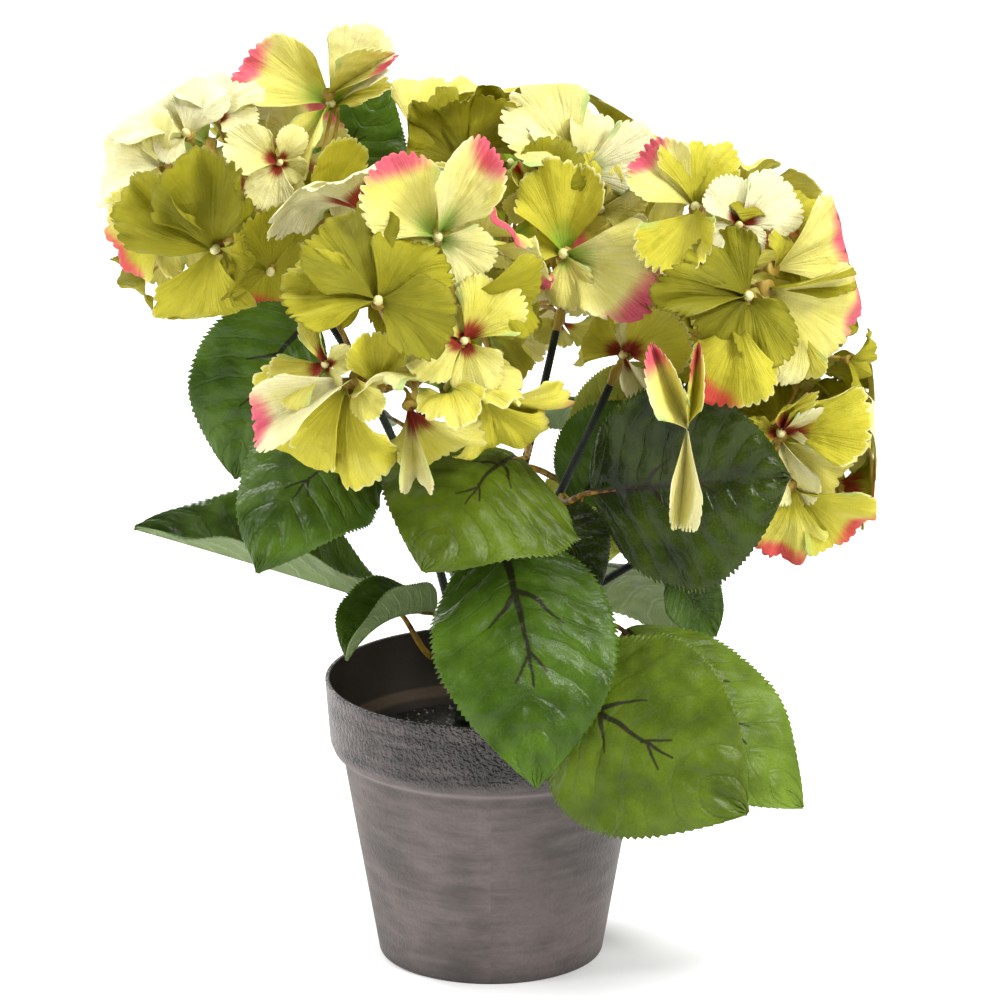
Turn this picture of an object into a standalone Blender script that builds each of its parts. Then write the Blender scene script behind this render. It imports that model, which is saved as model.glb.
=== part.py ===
"""A hydrangea of cloth flowers and leaves on plastic stems, in a plastic pot.

Metres, +Z up. The origin is the middle of the pot's flat underside, and the plant's front faces -Y.
A bearing turns from the front (-Y) towards the right (+X), and a rise goes up from level, in degrees.
"""

from math import atan2, cos, degrees, pi, radians, sin, sqrt

import bmesh
import bpy
from mathutils import Matrix, Vector

CM = 0.01
GAP = 0.0003  # between a piece and what carries it

# Pot: a plain tapered body under a straight collar, turned about the upright axis
POT_STEPS = 40
POT_HEIGHT = 11.65 * CM
RIM_RADIUS = 6.75 * CM
COLLAR_FOOT_RADIUS = 6.55 * CM
COLLAR_FOOT_Z = 9.05 * CM
BODY_TOP_RADIUS = 6.0 * CM
BODY_TOP_Z = 8.2 * CM
BASE_RADIUS = 4.6 * CM
BASE_CHAMFER = 0.06 * CM
WALL = 0.2 * CM
LEDGE_TOP_Z = 9.2 * CM
LEDGE_FOOT_Z = 8.85 * CM
LEDGE_LEAN = 0.05 * CM
SHOULDER_STEP = (0.14 * CM, 0.34 * CM)  # where the collar's foot turns under, in and down
LIP_ROUND = 0.06 * CM

# Filler: the dark mass that weights the pot and holds the stalk
FILLER_TOP_Z = 8.7 * CM
FILLER_CROWN = 0.12 * CM
FILLER_SHOULDERS = ((0.55, 0.7), (0.92, 0.0), (1.0, -1.0))  # shares of its radius and of its crown

# Stalk: the moulded foot of the bundle, and the stems that stand on its flat top
STALK = ((-0.8, 0.0, 8.85), (-0.8, 0.0, 10.6), (-0.8, 0.0, 12.4))
STALK_RADII = (0.78 * CM, 0.7 * CM)
STALK_PARTS = 2
STEM_RADII = (0.2 * CM, 0.17 * CM)
STEM_SIDES = 8
STEM_PARTS = 7
FOOT_RING = 0.46 * CM
# Each stem: the bearing of its foot on the stalk's top (None in the middle), its middle and its tip,
# in centimetres
STEMS = {
    "stem_middle": (None, (1.15, -0.75, 20.0), (2.62, 0.5, 26.0)),
    "stem_right": (40, (2.45, -1.7, 19.2), (4.75, -1.5, 24.3)),
    "stem_low_right": (100, (4.1, -0.7, 15.6), (9.6, -0.9, 19.0)),
    "stem_front_left": (-30, (-1.7, -1.5, 18.5), (-2.8, -2.7, 23.6)),
    "stem_left": (-100, (-3.6, 1.3, 20.4), (-7.4, 1.9, 27.4)),
    "stem_back": (170, (-0.9, 3.3, 18.6), (-0.2, 6.8, 22.6)),
}

# Flower heads: (stem, centre in centimetres, radius in centimetres to the florets' hearts)
HEADS = {
    "head_front_left": ("stem_front_left", (-3.85, -4.5, 27.95), 4.9),
    "head_left": ("stem_left", (-10.05, 2.0, 30.85), 4.2),
    "head_middle": ("stem_middle", (2.2, 3.5, 30.4), 4.2),
    "head_right": ("stem_right", (9.65, -1.5, 28.2), 4.2),
    "head_low_right": ("stem_low_right", (11.95, -1.0, 21.7), 3.2),
    "head_back": ("stem_back", (0.8, 10.6, 26.6), 4.4),
}
# Florets that face the front, each placed by hand: bearing and rise of its heart on the head, its
# distance in head radii, bearing and rise that it faces, directions of its petals, their sizes and
# pinches. One number stands for all four petals; a shorter list leaves the others out.
FRONT_FLORETS = {
    "head_front_left": (
        (-5, 20, 1, -5, 35, (50, 130, 178, 335), (0.85, 0.95, 0.9, 0.8), 0.15),
        (35, 50, 1, 5, 15, (60, 135, 200, 330), (1.0, 0.9, 0.4, 0.65), (0.6, 0.15, 0.2, 0.3)),
        (35, 0, 1, 10, 20, (50, 190, 290, 110), (0.75, 0.65, 0.55, 0.35), 0.1),
        (-30, -10, 1, -20, 10, (100, 215, 300, 20), (0.65, 0.6, 0.3, 0.4), (0.8, 0.2, 0.2, 0.5)),
        (-15, -15, 1, -30, 10, (214, 310), (1.15, 0.45), (0.6, 0.2)),
        (-20, -20, 1, -20, -10, (218, 270), (1.15, 1.0), 0.1),
        (-25, -35, 1, -15, -25, (228,), (1.15,), 0.3),
        (10, -30, 1, 5, -30, (275, 305), (0.85, 0.9), (0.75, 0.1)),
        (55, -30, 1, 30, -25, (300, 340), (1.0, 0.95), (0.15, 0.2)),
        (30, -25, 1, 0, 75, 0, (0.8, 0.6, 1.0, 0.7), 0.2),
        (40, 20, 1, 30, 20, (345,), 0.85, 0.3),
        (-5, -20, 1, 0, 0, (95,), 0.6, 0.1),
    ),
    "head_left": (
        (105, 45, 1.3, -20, 30, (48, 160, 255, 20), (0.95, 0.9, 0.95, 0.65), (0.5, 0.1, 0.6, 0.6)),
        (100, 50, 1.35, -10, 20, (30,), 0.8, 0.8),
        (30, 35, 1, 10, 10, 60, (0.4, 0.6, 0.5, 0.3), 0.3),
        (-10, -10, 1, -15, -10, (85, 140, 262, 345), (1.1, 1.05, 1.1, 0.75), (0.1, 0.4, 0.05, 0.1)),
        (-30, 5, 1, -30, -5, (200, 235), (0.9, 0.75), 0.1),
        (-50, 30, 1, -40, 20, (190, 110), (0.85, 0.5), 0.1),
        (-45, 50, 1, -30, 45, (170, 80, 250), (0.8, 0.6, 0.4), 0.1),
        (-25, 65, 1, -15, 60, (50, 130, 350), (0.55, 0.6, 0.45), 0.15),
        (20, -25, 1, 15, -15, (170, 80, 350), (0.5, 0.8, 0.6), 0.2),
        (50, 0, 1, 40, 0, (75, 255), (0.8, 0.6), 0.3),
        (-75, -35, 1.1, -50, -30, (235, 160), (0.5, 0.4), 0.2),
    ),
    "head_middle": (
        (8, -8, 1.25, -12, 25, (-20, 95, 165, 285), (1.1, 0.9, 0.35, 0.55), (0.1, 0.1, 0.3, 0.2)),
        (-60, 30, 1, -170, 25, (95, 40, 140, 15), (0.95, 0.9, 1.0, 0.75), 0.1),
        (-95, 25, 1.3, -60, 50, (110,), 0.95, 0.1),
        (20, 30, 1, 20, 30, (5, 65, 100, 128), (0.85, 0.65, 0.85, 1.05), 0.1),
        (30, 10, 1, 20, 20, (25, 345, 100), (0.65, 0.8, 0.55), 0.1),
        (-5, 15, 1, -10, 20, (55, 120, 200), (0.65, 0.45, 0.35), (0.1, 0.8, 0.3)),
        (30, -75, 1.1, 10, -25, (350, 190, 260), (0.5, 0.3, 0.3), 0.2),
    ),
    "head_right": (
        (-85, -30, 1.2, -15, 10, (150, 30, 65, 305), (0.6, 0.8, 0.4, 0.6), (0.2, 0.3, 0.1, 0.7)),
        (-20, -35, 1.7, 0, 0, (115, 80, 265), (1.0, 0.9, 0.95), (0.7, 0.85, 0.8)),
        (0, 0, 1.12, 0, 10, (258,), 0.85, 0.1),
        (5, 10, 1, 0, 30, (125, 185, 295, 215), (0.75, 1.0, 0.65, 0.6), (0.1, 0.6, 0.1, 0.1)),
        (-50, 60, 1, -10, 35, (145, 85, 55, 262), (0.75, 0.75, 0.35, 0.85), (0.2, 0.1, 0.1, 0.2)),
        (0, 50, 1, 5, 35, 30, (0.7, 0.5, 0.35, 0.35), 0.1),
        (30, 50, 1, 30, 45, (30, 120), (0.6, 0.55), 0.15),
        (20, 25, 1, 40, 15, (18, 60), (0.9, 0.4), 0.15),
        (15, 15, 1, 30, 0, (335, 8), (1.1, 0.9), (0.1, 0.8)),
        (80, -30, 1.25, 60, 0, (20, 300), (0.4, 0.35), 0.3),
        (35, -10, 1, 30, -15, (230, 265), (0.6, 0.5), 0.3),
    ),
    "head_low_right": (
        (-10, 25, 1, -5, 5, (80, 25, 15, 180), (0.75, 0.95, 0.6, 0.45), (0.6, 0.3, 0.5, 0.2)),
        (-10, 20, 1, 10, -10, (325, 285), (0.85, 0.7), (0.1, 0.5)),
        (0, -15, 1, 10, -25, (330, 262), (0.95, 0.85), 0.1),
    ),
    "head_back": (),
}
# Planes that keep a head off the leaves and stems beside it: a point of each, and the way out
SCREENS = {
    "head_front_left": (
        ((-6.0, -1.6, 25.5), (-120, -20)), ((-3.0, -1.4, 24.0), (180, -45)), ((0.0, -6.2, 23.0), (195, -62))),
    "head_left": (
        ((-6.5, 6.6, 33.0), (140, 0)), ((-8.0, -0.3, 27.3), (20, -70)), ((-12.0, 2.0, 35.8), (-115, 56))),
    "head_middle": (
        ((-3.0, 7.0, 32.5), (-120, 0)), ((4.2, 3.5, 34.8), (116, 56)), ((0.4, 3.5, 35.2), (180, 74))),
    "head_right": (((8.2, -1.5, 34.8), (180, 74)), ((13.6, -1.5, 30.8), (94, 14))),
    "head_back": (((-3.2, 9.0, 30.0), (-90, 20)),),
    "head_low_right": (
        ((11.0, -5.2, 21.9), (-20, 0)), ((7.8, 0.0, 21.5), (-100, 10)), ((15.2, -1.0, 21.6), (90, 0))),
}
# The other florets: evenly spread points on the head, thinned out by these angles
SPREAD_POINTS = 34
FRONT_WAY = (0, 16.43)  # bearing and rise of the side where the florets are placed by hand
LOOSE = 1.2  # a front floret with its heart farther out, in head radii, hangs free of its head's planes
HANGING = 1.5  # and one beyond this hangs from the nearest heart
FLORETS_APART = 44
STEM_CLEAR = 48
SPIN_STEP = 137.5
SPREAD_SIZES = (0.85, 0.95, 0.8, 0.9)
SPREAD_TURNS = (0, 87, 184, 266)  # directions of their petals
SPREAD_UNEVEN = (1.0, 0.9, 1.05, 0.95)  # sizes of their petals beside one another
SPREAD_REACH = 0.92
SPREAD_PINCH = 0.15

# Petal: broad and fan-shaped, saucered, with a lens-shaped section
PETALS = 4
PETAL_LENGTH = 4.0 * CM
PETAL_SPREAD = 0.88  # radians either side of its middle line
PETAL_CLAW = 0.8  # share of that spread at its root
PETAL_SHOULDER = 0.3  # how much shorter it is at its sides
PETAL_RISE = 0.62
PETAL_DROOP = 0.5
PETAL_THICKNESS = 0.1 * CM
HEART_RADIUS = 0.34 * CM
TWIG_RADIUS = 0.09 * CM
TWIG_TAPER = 0.8
SINK_STEPS = 5  # how many different depths the twigs' ends have in a fork
FORK_RADIUS = 0.12 * CM
TWIG_FORKS = 12
FORK_AT = 0.45
HEAD_STEM_RADIUS = 0.17 * CM
HUB_HEIGHT = 1.0 * CM
HEAD_KEEP = 0.693  # share of a joined head's faces that stays after thinning
# Each head keeps to its own space: petals that would leave its round bend in, and where two heads
# meet they are pressed flat against a plane between them. The share is what is left of the excess.
ROUND_EXCESS = 1.1 * CM
ROUND_KEEP = 0.4
PRESS_CLEAR = 0.4 * CM
PRESS_KEEP = 0.12

# Leaf: (stem, share of the stem's length, root, middle and tip of its midrib, bearing and rise of
#        its face, width, fold and twist in degrees), in centimetres
LEAVES = {
    "leaf_far_left": (
        "stalk", 0.97, (-4.3, -0.8, 15.0), (-9.2, -0.5, 16.5), (-14.4, 0.4, 17.8), (0, 96), 6.6, 34, -20),
    "leaf_left_high": (
        "stem_left", 0.7, (-7.0, -0.6, 26.8), (-9.2, -1.2, 24.2), (-10.2, -1.0, 20.3), (-15, 15), 5.8, 8, 0),
    "leaf_left": (
        "stem_front_left", 0.86, (-4.2, -4.1, 22.0), (-7.0, -6.0, 21.9), (-9.1, -7.7, 18.4),
        (-10, 56), 6.4, -8, 0),
    "leaf_front": (
        "stem_middle", 0.62, (1.2, -3.7, 21.9), (-0.4, -6.5, 21.8), (-2.6, -9.2, 18.9),
        (15, 62), 8.9, -12, 0),
    "leaf_small_left": (
        "stalk", 0.9, (-2.3, -2.2, 15.0), (-4.2, -3.8, 15.2), (-5.7, -5.2, 14.0), (180, 78), 4.0, 50, 0),
    "leaf_centre": (
        "stem_front_left", 0.45, (0.2, -4.0, 18.8), (1.4, -7.4, 15.4), (1.8, -9.0, 10.0),
        (5, 25), 7.4, -8, 0),
    "leaf_centre_dark": (
        "stem_right", 0.34, (2.0, -2.2, 19.0), (3.2, -2.8, 18.2), (4.3, -3.1, 16.2), (25, 25), 3.2, 12, 0),
    "leaf_low_right": (
        "stem_low_right", 0.2, (2.6, -5.9, 13.4), (5.8, -8.0, 11.7), (10.1, -8.8, 8.9), (-5, 14), 8.4, -6, 0),
    "leaf_right": (
        "stem_low_right", 0.35, (5.3, -3.2, 14.6), (9.0, -5.0, 11.6), (12.4, -5.2, 7.8),
        (20, 30), 5.8, -8, 0),
    "leaf_right_dark": (
        "stem_right", 0.56, (4.0, -4.4, 20.7), (7.8, -6.0, 21.5), (11.7, -6.3, 21.9), (5, 5), 8.4, 5, 0),
    "leaf_right_high": (
        "stem_middle", 0.55, (3.9, 1.3, 19.6), (5.1, 1.7, 22.3), (6.5, 2.2, 24.2), (0, 5), 3.6, 8, 0),
    "leaf_right_mid": (
        "stem_middle", 0.42, (3.6, -0.2, 19.0), (4.9, 0.0, 21.0), (7.0, 0.2, 22.4), (5, 15), 4.6, 8, 0),
    "leaf_right_small": (
        "stem_low_right", 0.72, (7.2, -1.4, 16.3), (8.0, -1.3, 15.4), (9.1, -0.8, 13.6),
        (20, 20), 2.8, 18, 0),
    "leaf_pale": (
        "stem_middle", 0.2, (1.7, 1.6, 16.9), (3.6, 2.2, 17.2), (5.6, 2.6, 16.4), (5, 25), 5.0, 12, 0),
    "leaf_top": (
        "stem_left", 0.9, (-6.2, 7.6, 28.6), (-5.8, 8.6, 31.5), (-4.2, 9.2, 34.3), (0, 10), 5.0, 8, 0),
    "leaf_back": (
        "stem_back", 0.45, (-1.0, 5.2, 17.6), (0.4, 9.0, 15.4), (1.2, 10.6, 10.4), (180, 30), 7.4, -8, 0),
    "leaf_back_left": (
        "stem_back", 0.7, (-3.9, 6.4, 20.6), (-7.4, 8.2, 21.6), (-10.6, 9.4, 20.0), (200, 60), 7.0, -8, 0),
    "leaf_back_right": (
        "stem_back", 0.25, (2.4, 3.8, 14.8), (6.0, 6.6, 13.8), (8.8, 8.6, 9.8), (150, 40), 7.0, -8, 0),
    "leaf_back_high": (
        "stem_back", 0.85, (0.6, 7.6, 20.8), (3.2, 9.4, 20.6), (5.4, 10.8, 18.4), (165, 60), 6.4, -8, 0),
}
# Its outline is a product of powers, by how fast it widens at its root, narrows at its tip and leans
# towards the tip, then the product's greatest value, and the least width as a share of the greatest
LEAF_ROOT, LEAF_TIP, LEAF_LEAN = 0.55, 0.95, 0.9
LEAF_WIDEST = 0.514
LEAF_NARROWEST = 0.05
LEAF_THICKNESS = 0.12 * CM
LEAF_PARTS = 6
PETIOLE_RADIUS = 0.13 * CM
PETIOLE_PARTS = 4
PETIOLE_OVERLAP = 0.12  # share of the blade that the petiole runs under
PETIOLE_BOW = (0.4, 0.35)  # how far it keeps its first and last direction, as shares of its reach

COLOURS = {
    "pot": ((0.13, 0.11, 0.11), 0.7),
    "filler": ((0.02, 0.02, 0.02), 0.9),
    "stem": ((0.015, 0.02, 0.012), 0.5),
    "leaf": ((0.06, 0.2, 0.02), 0.5),
    "head": ((0.65, 0.65, 0.1), 0.7),
}


def clear_scene():
    for thing in list(bpy.data.objects):
        bpy.data.objects.remove(thing)


def collection(name):
    made = bpy.data.collections.new(name)
    bpy.context.scene.collection.children.link(made)
    return made


def finish(name):
    """The material of one kind of piece."""
    colour, roughness = COLOURS[name]
    made = bpy.data.materials.new(name)
    made.use_nodes = True
    shader = made.node_tree.nodes["Principled BSDF"]
    shader.inputs["Base Color"].default_value = (*colour, 1)
    shader.inputs["Roughness"].default_value = roughness
    shader.inputs["Metallic"].default_value = 0
    return made


def mesh_object(name, shape, group, material=None):
    """An object in group from a bmesh or a mesh."""
    if isinstance(shape, bmesh.types.BMesh):
        mesh = bpy.data.meshes.new(name)
        shape.to_mesh(mesh)
        shape.free()
    else:
        mesh = shape
    made = bpy.data.objects.new(name, mesh)
    group.objects.link(made)
    if material:
        mesh.materials.clear()
        mesh.materials.append(material)
    return made


def evaluated_mesh(thing):
    """A plain mesh of what the object's modifiers make."""
    bpy.context.view_layer.update()
    return bpy.data.meshes.new_from_object(thing.evaluated_get(bpy.context.evaluated_depsgraph_get()))


def cm(point):
    return Vector(point) * CM


def heading(bearing, rise):
    """The unit vector at a bearing and a rise."""
    b, r = radians(bearing), radians(rise)
    return Vector((sin(b) * cos(r), -cos(b) * cos(r), sin(r)))


def through(foot, middle, tip, share):
    """A point of the parabola through three points, middle at half way."""
    bend = 2 * middle - (foot + tip) / 2
    return foot * (1 - share) ** 2 + bend * 2 * share * (1 - share) + tip * share**2


def turned(name, profile, steps, group, material):
    """A turned solid: the profile in (radius, height) runs down its outer side."""
    mesh = bpy.data.meshes.new(name)
    edges = [(i, i + 1) for i in range(len(profile) - 1)]
    mesh.from_pydata([(r, 0, z) for r, z in profile], edges, [])
    made = mesh_object(name, mesh, group, material)
    screw = made.modifiers.new("turn", "SCREW")
    screw.steps = screw.render_steps = steps
    screw.use_merge_vertices = True
    screw.merge_threshold = 0.00001
    return made


def tube(name, points, radii, sides, group):
    """A closed mesh tube through the points, thinning from the first radius to the last."""
    curve = bpy.data.curves.new(name, "CURVE")
    curve.dimensions = "3D"
    curve.bevel_depth = 1
    curve.bevel_resolution = sides // 2 - 2
    curve.use_fill_caps = True
    line = curve.splines.new("POLY")
    line.points.add(len(points) - 1)
    for i, point in enumerate(points):
        line.points[i].co = (*point, 1)
        line.points[i].radius = radii[0] + (radii[1] - radii[0]) * i / (len(points) - 1)
    guide = bpy.data.objects.new(name + "_line", curve)
    group.objects.link(guide)
    shape = bmesh.new()
    shape.from_mesh(evaluated_mesh(guide))
    bmesh.ops.remove_doubles(shape, verts=shape.verts, dist=0.00001)
    made = mesh_object(name, shape, group)
    made.matrix_world = guide.matrix_world
    bpy.data.objects.remove(guide)
    return made


def single_body(mesh):
    """Keeps the largest outer skin: a hollow that joining sealed is filled, a loose scrap dropped."""
    shape = bmesh.new()
    shape.from_mesh(mesh)
    bmesh.ops.triangulate(shape, faces=shape.faces)
    left, skins = set(shape.faces), []
    while left:
        skin, edge = set(), [left.pop()]
        while edge:
            face = edge.pop()
            skin.add(face)
            for side in face.edges:
                for other in side.link_faces:
                    if other in left:
                        left.remove(other)
                        edge.append(other)
        skins.append(skin)

    def volume(skin):
        return sum(f.verts[0].co.dot(f.verts[1].co.cross(f.verts[2].co)) for f in skin) / 6

    skins.sort(key=volume)
    bmesh.ops.delete(shape, geom=[f for skin in skins[:-1] for f in skin], context="FACES")
    shape.to_mesh(mesh)
    shape.free()


def joined(name, pieces, keep, group, material):
    """One solid from overlapping closed pieces, by one union; keep is the share of its faces to keep."""
    rest = collection(name + "_pieces")
    first = pieces[0]
    for piece in pieces[1:]:
        rest.objects.link(piece)
    union = first.modifiers.new("join", "BOOLEAN")
    union.operation = "UNION"
    union.operand_type = "COLLECTION"
    union.collection = rest
    union.solver = "MANIFOLD"
    if keep < 1:
        thin = first.modifiers.new("thin", "DECIMATE")
        thin.ratio = keep
        thin.use_collapse_triangulate = True
    mesh = evaluated_mesh(first)
    for piece in pieces:
        bpy.data.objects.remove(piece)
    bpy.data.collections.remove(rest)
    single_body(mesh)
    mesh.name = name
    return mesh_object(name, mesh, group, material)


def make_pot(group, material):
    """Shell of one thickness: inside floor, inner wall with its ledge, rim, collar, body, underside."""
    inner_ledge = BODY_TOP_RADIUS - WALL
    profile = (
        (0, WALL),
        (BASE_RADIUS - WALL, WALL),
        (inner_ledge, BODY_TOP_Z),
        (inner_ledge + LEDGE_LEAN, LEDGE_FOOT_Z),
        (COLLAR_FOOT_RADIUS - WALL, LEDGE_TOP_Z),
        (RIM_RADIUS - WALL, POT_HEIGHT - LIP_ROUND),
        (RIM_RADIUS - WALL + LIP_ROUND, POT_HEIGHT),
        (RIM_RADIUS - LIP_ROUND, POT_HEIGHT),
        (RIM_RADIUS, POT_HEIGHT - LIP_ROUND),
        (COLLAR_FOOT_RADIUS, COLLAR_FOOT_Z),
        (COLLAR_FOOT_RADIUS - SHOULDER_STEP[0], COLLAR_FOOT_Z - SHOULDER_STEP[1]),
        (BODY_TOP_RADIUS, BODY_TOP_Z),
        (BASE_RADIUS, BASE_CHAMFER),
        (BASE_RADIUS - BASE_CHAMFER, 0),
        (0, 0),
    )
    return turned("pot", profile, POT_STEPS, group, material)


def make_filler(group, material):
    """Fills the pot up to just under the ledge, a little crowned, clear of the wall all round."""
    lift = WALL + GAP
    foot_radius = BASE_RADIUS - WALL - GAP
    top_radius = BODY_TOP_RADIUS - WALL - GAP
    profile = (
        (0, FILLER_TOP_Z + FILLER_CROWN),
        *((out * top_radius, FILLER_TOP_Z + up * FILLER_CROWN) for out, up in FILLER_SHOULDERS),
        (top_radius, BODY_TOP_Z),
        (foot_radius, lift),
        (0, lift),
    )
    return turned("filler", profile, POT_STEPS, group, material)


def stalk_line():
    return [cm(p) for p in STALK]


def stem_line(name):
    """Foot, middle and tip of a stem, its foot just clear of the stalk's top."""
    bearing, middle, tip = STEMS[name]
    foot = stalk_line()[2] + Vector((0, 0, GAP))
    if bearing is not None:
        foot += heading(bearing, 0) * FOOT_RING
    return foot, cm(middle), cm(tip)


def make_limb(name, line, radii, parts, group, material):
    """A tapering limb with flat ends; its foot is level."""
    points = [through(*line, i / parts) for i in range(parts + 1)]
    made = tube(name, points, radii, STEM_SIDES, group)
    for vertex in made.data.vertices:
        if (vertex.co - points[0]).length < (vertex.co - points[1]).length:
            vertex.co.z = points[0].z
    made.data.materials.append(material)
    return made


def leaf_outline(share):
    """Half width of a leaf's blade, as a share of its greatest, from root to tip."""
    wide = share**LEAF_ROOT * (1 - share) ** LEAF_TIP * (1 + LEAF_LEAN * share)
    return max(wide / LEAF_WIDEST, LEAF_NARROWEST)


def leaf_point(leaf, share, across):
    """A point of a leaf's middle surface: share from root to tip, across from -1 to 1."""
    _, _, root, middle, tip, face, width, fold, twist = leaf
    line = [cm(p) for p in (root, middle, tip)]
    place = through(*line, share)
    along = (through(*line, share + 0.01) - place).normalized()
    upper = Matrix.Rotation(radians(twist) * share, 3, along) @ heading(*face)
    upper = (upper - along * upper.dot(along)).normalized()
    side = upper.cross(along)
    reach = width * CM / 2 * leaf_outline(share) * across
    return place + side * reach * cos(radians(fold)) + upper * abs(reach) * sin(radians(fold))


def make_leaf(name, leaf, group, material):
    """A cloth blade, fused to the petiole that carries it from its stem."""
    shape = bmesh.new()
    bmesh.ops.create_grid(shape, x_segments=LEAF_PARTS, y_segments=2, size=1)
    for vertex in shape.verts:
        share, across = vertex.co.x / 2 + 0.5, vertex.co.y
        vertex.co = leaf_point(leaf, share, across)
    blade = mesh_object(name + "_blade", shape, group)
    shell = blade.modifiers.new("cloth", "SOLIDIFY")
    shell.thickness = LEAF_THICKNESS
    shell.offset = 0
    blade_mesh = evaluated_mesh(blade)
    bpy.data.objects.remove(blade)
    blade = mesh_object(name + "_blade", blade_mesh, group)
    petiole = tube(name + "_petiole", petiole_points(leaf), [PETIOLE_RADIUS] * 2, 4, group)
    return joined(name, [petiole, blade], 1, group, material)


def petiole_points(leaf):
    """From just clear of the stem's side, in a bow, to a little way under the blade."""
    stem, share, root = leaf[0], leaf[1], cm(leaf[2])
    line = stalk_line() if stem == "stalk" else stem_line(stem)
    radii = STALK_RADII if stem == "stalk" else STEM_RADII
    core = through(*line, share)
    stem_way = (through(*line, share + 0.02) - core).normalized()
    out = root - core
    out = (out - stem_way * out.dot(stem_way)).normalized()
    foot = core + out * (radii[0] + (radii[1] - radii[0]) * share + GAP)
    start = foot + out * PETIOLE_RADIUS
    end = leaf_point(leaf, PETIOLE_OVERLAP, 0)
    into = (end - root).normalized()
    reach = (root - start).length
    leave, arrive = start + out * reach * PETIOLE_BOW[0], root - into * reach * PETIOLE_BOW[1]
    points = [foot]
    for i in range(PETIOLE_PARTS + 1):
        s = i / PETIOLE_PARTS
        bow = leave * 3 * s * (1 - s) ** 2 + arrive * 3 * s**2 * (1 - s)
        points.append(start * (1 - s) ** 3 + bow + root * s**3)
    return points + [end]


def spread_headings(count):
    """Evenly spread unit vectors."""
    for i in range(count):
        height = 1 - 2 * (i + 0.5) / count
        turn = pi * (1 + sqrt(5)) * i
        flat = sqrt(1 - height * height)
        yield Vector((flat * sin(turn), -flat * cos(turn), height))


def angle_between(a, b):
    return degrees(a.angle(b))


def head_space(name):
    """What bounds a head: its middle, its round, and planes as a point and the way out, half way to
    the other heads and at its screens."""
    centre, radius = cm(HEADS[name][1]), HEADS[name][2]
    planes = []
    for other, (_, other_centre, other_radius) in HEADS.items():
        if other != name:
            way = cm(other_centre) - centre
            share = radius / (radius + other_radius)
            planes.append((centre + way * share - way.normalized() * PRESS_CLEAR, way.normalized()))
    planes += [(cm(place), heading(*way)) for place, way in SCREENS.get(name, ())]
    return centre, radius * CM + ROUND_EXCESS, planes


def kept_in(point, space, reach):
    """Where a point of a head ends up in its space. A front floret, with a reach above 0, may leave the
    round, and a loose one the planes too."""
    if reach > LOOSE:
        return point
    centre, limit, planes = space
    out = (point - centre).length
    if out > limit and not reach:
        point = centre + (point - centre) * (limit + (out - limit) * ROUND_KEEP) / out
    for place, way in planes:
        past = (point - place).dot(way)
        if past > 0:
            point = point - way * past * (1 - PRESS_KEEP)
    return point


def for_petals(value, step=0):
    """A value for each petal: those listed, or one value with a step from petal to petal."""
    return value if isinstance(value, tuple) else tuple(value + step * k for k in range(PETALS))


def florets(name):
    """Every floret of a head: heart, facing, its petals as (direction, size, pinch), and its reach if it
    is a front one, or 0."""
    radius = HEADS[name][2] * CM
    tip = stem_line(HEADS[name][0])[2]
    centre, _, planes = head_space(name)
    found = []
    for bearing, rise, reach, turn, tilt, turns, sizes, pinches in FRONT_FLORETS[name]:
        petals = zip(for_petals(turns, 360 / PETALS), for_petals(sizes), for_petals(pinches))
        found.append((heading(bearing, rise), reach, heading(turn, tilt), list(petals), reach))
    for i, way in enumerate(spread_headings(SPREAD_POINTS)):
        beyond = any((centre + way * radius - place).dot(out) > 0 for place, out in planes)
        crowded = any(angle_between(way, other[0]) < FLORETS_APART for other in found)
        near_stem = angle_between(way, tip - centre) < STEM_CLEAR
        in_front = FRONT_FLORETS[name] and way.dot(heading(*FRONT_WAY)) > 0
        if not (beyond or crowded or near_stem or in_front):
            size = SPREAD_SIZES[i % len(SPREAD_SIZES)]
            turns = (i * SPIN_STEP + turn for turn in SPREAD_TURNS)
            sizes = (size * uneven for uneven in SPREAD_UNEVEN)
            petals = zip(turns, sizes, for_petals(SPREAD_PINCH))
            found.append((way, SPREAD_REACH, way, list(petals), 0))
    return [(centre + way * radius * reach, *rest) for way, reach, *rest in found]


def petal_point(share, across, length, pinch):
    """A point of a petal's middle surface in its own axes: out along X, across Y, facing Z."""
    spread = PETAL_SPREAD * across * (PETAL_CLAW + (1 - PETAL_CLAW) * share)
    out = share * length * (1 - PETAL_SHOULDER * abs(across) ** 3)
    x, y = out * cos(spread), out * sin(spread)
    q = out / length
    lift = length * (PETAL_RISE * q - PETAL_DROOP * q * q)
    fold = pinch * pi / 2
    return Vector((x, y * cos(fold), lift + abs(y) * sin(fold)))


# A petal's six rim points and its middle, as (share of its length, across)
PETAL_RIM = ((0.03, 0), (0.62, -1), (1, -0.6), (1, 0), (1, 0.6), (0.62, 1))
PETAL_MIDDLE = (0.66, 0)


def floret_axes(facing):
    """Axes of a floret: right and up as seen by whoever it faces, then the way it faces."""
    right = Vector((-facing.y, facing.x, 0))
    right = right.normalized() if right.length > 0.001 else Vector((1, 0, 0))
    return Matrix((right, facing.cross(right), facing)).transposed()


def petal_corners(length, pinch):
    """Rim points of a petal, then the tops of its lens over and under the middle, in its own axes."""
    middle = petal_point(*PETAL_MIDDLE, length, pinch)
    thick = Vector((0, 0, PETAL_THICKNESS / 2))
    return [petal_point(*place, length, pinch) for place in PETAL_RIM] + [middle + thick, middle - thick]


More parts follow.
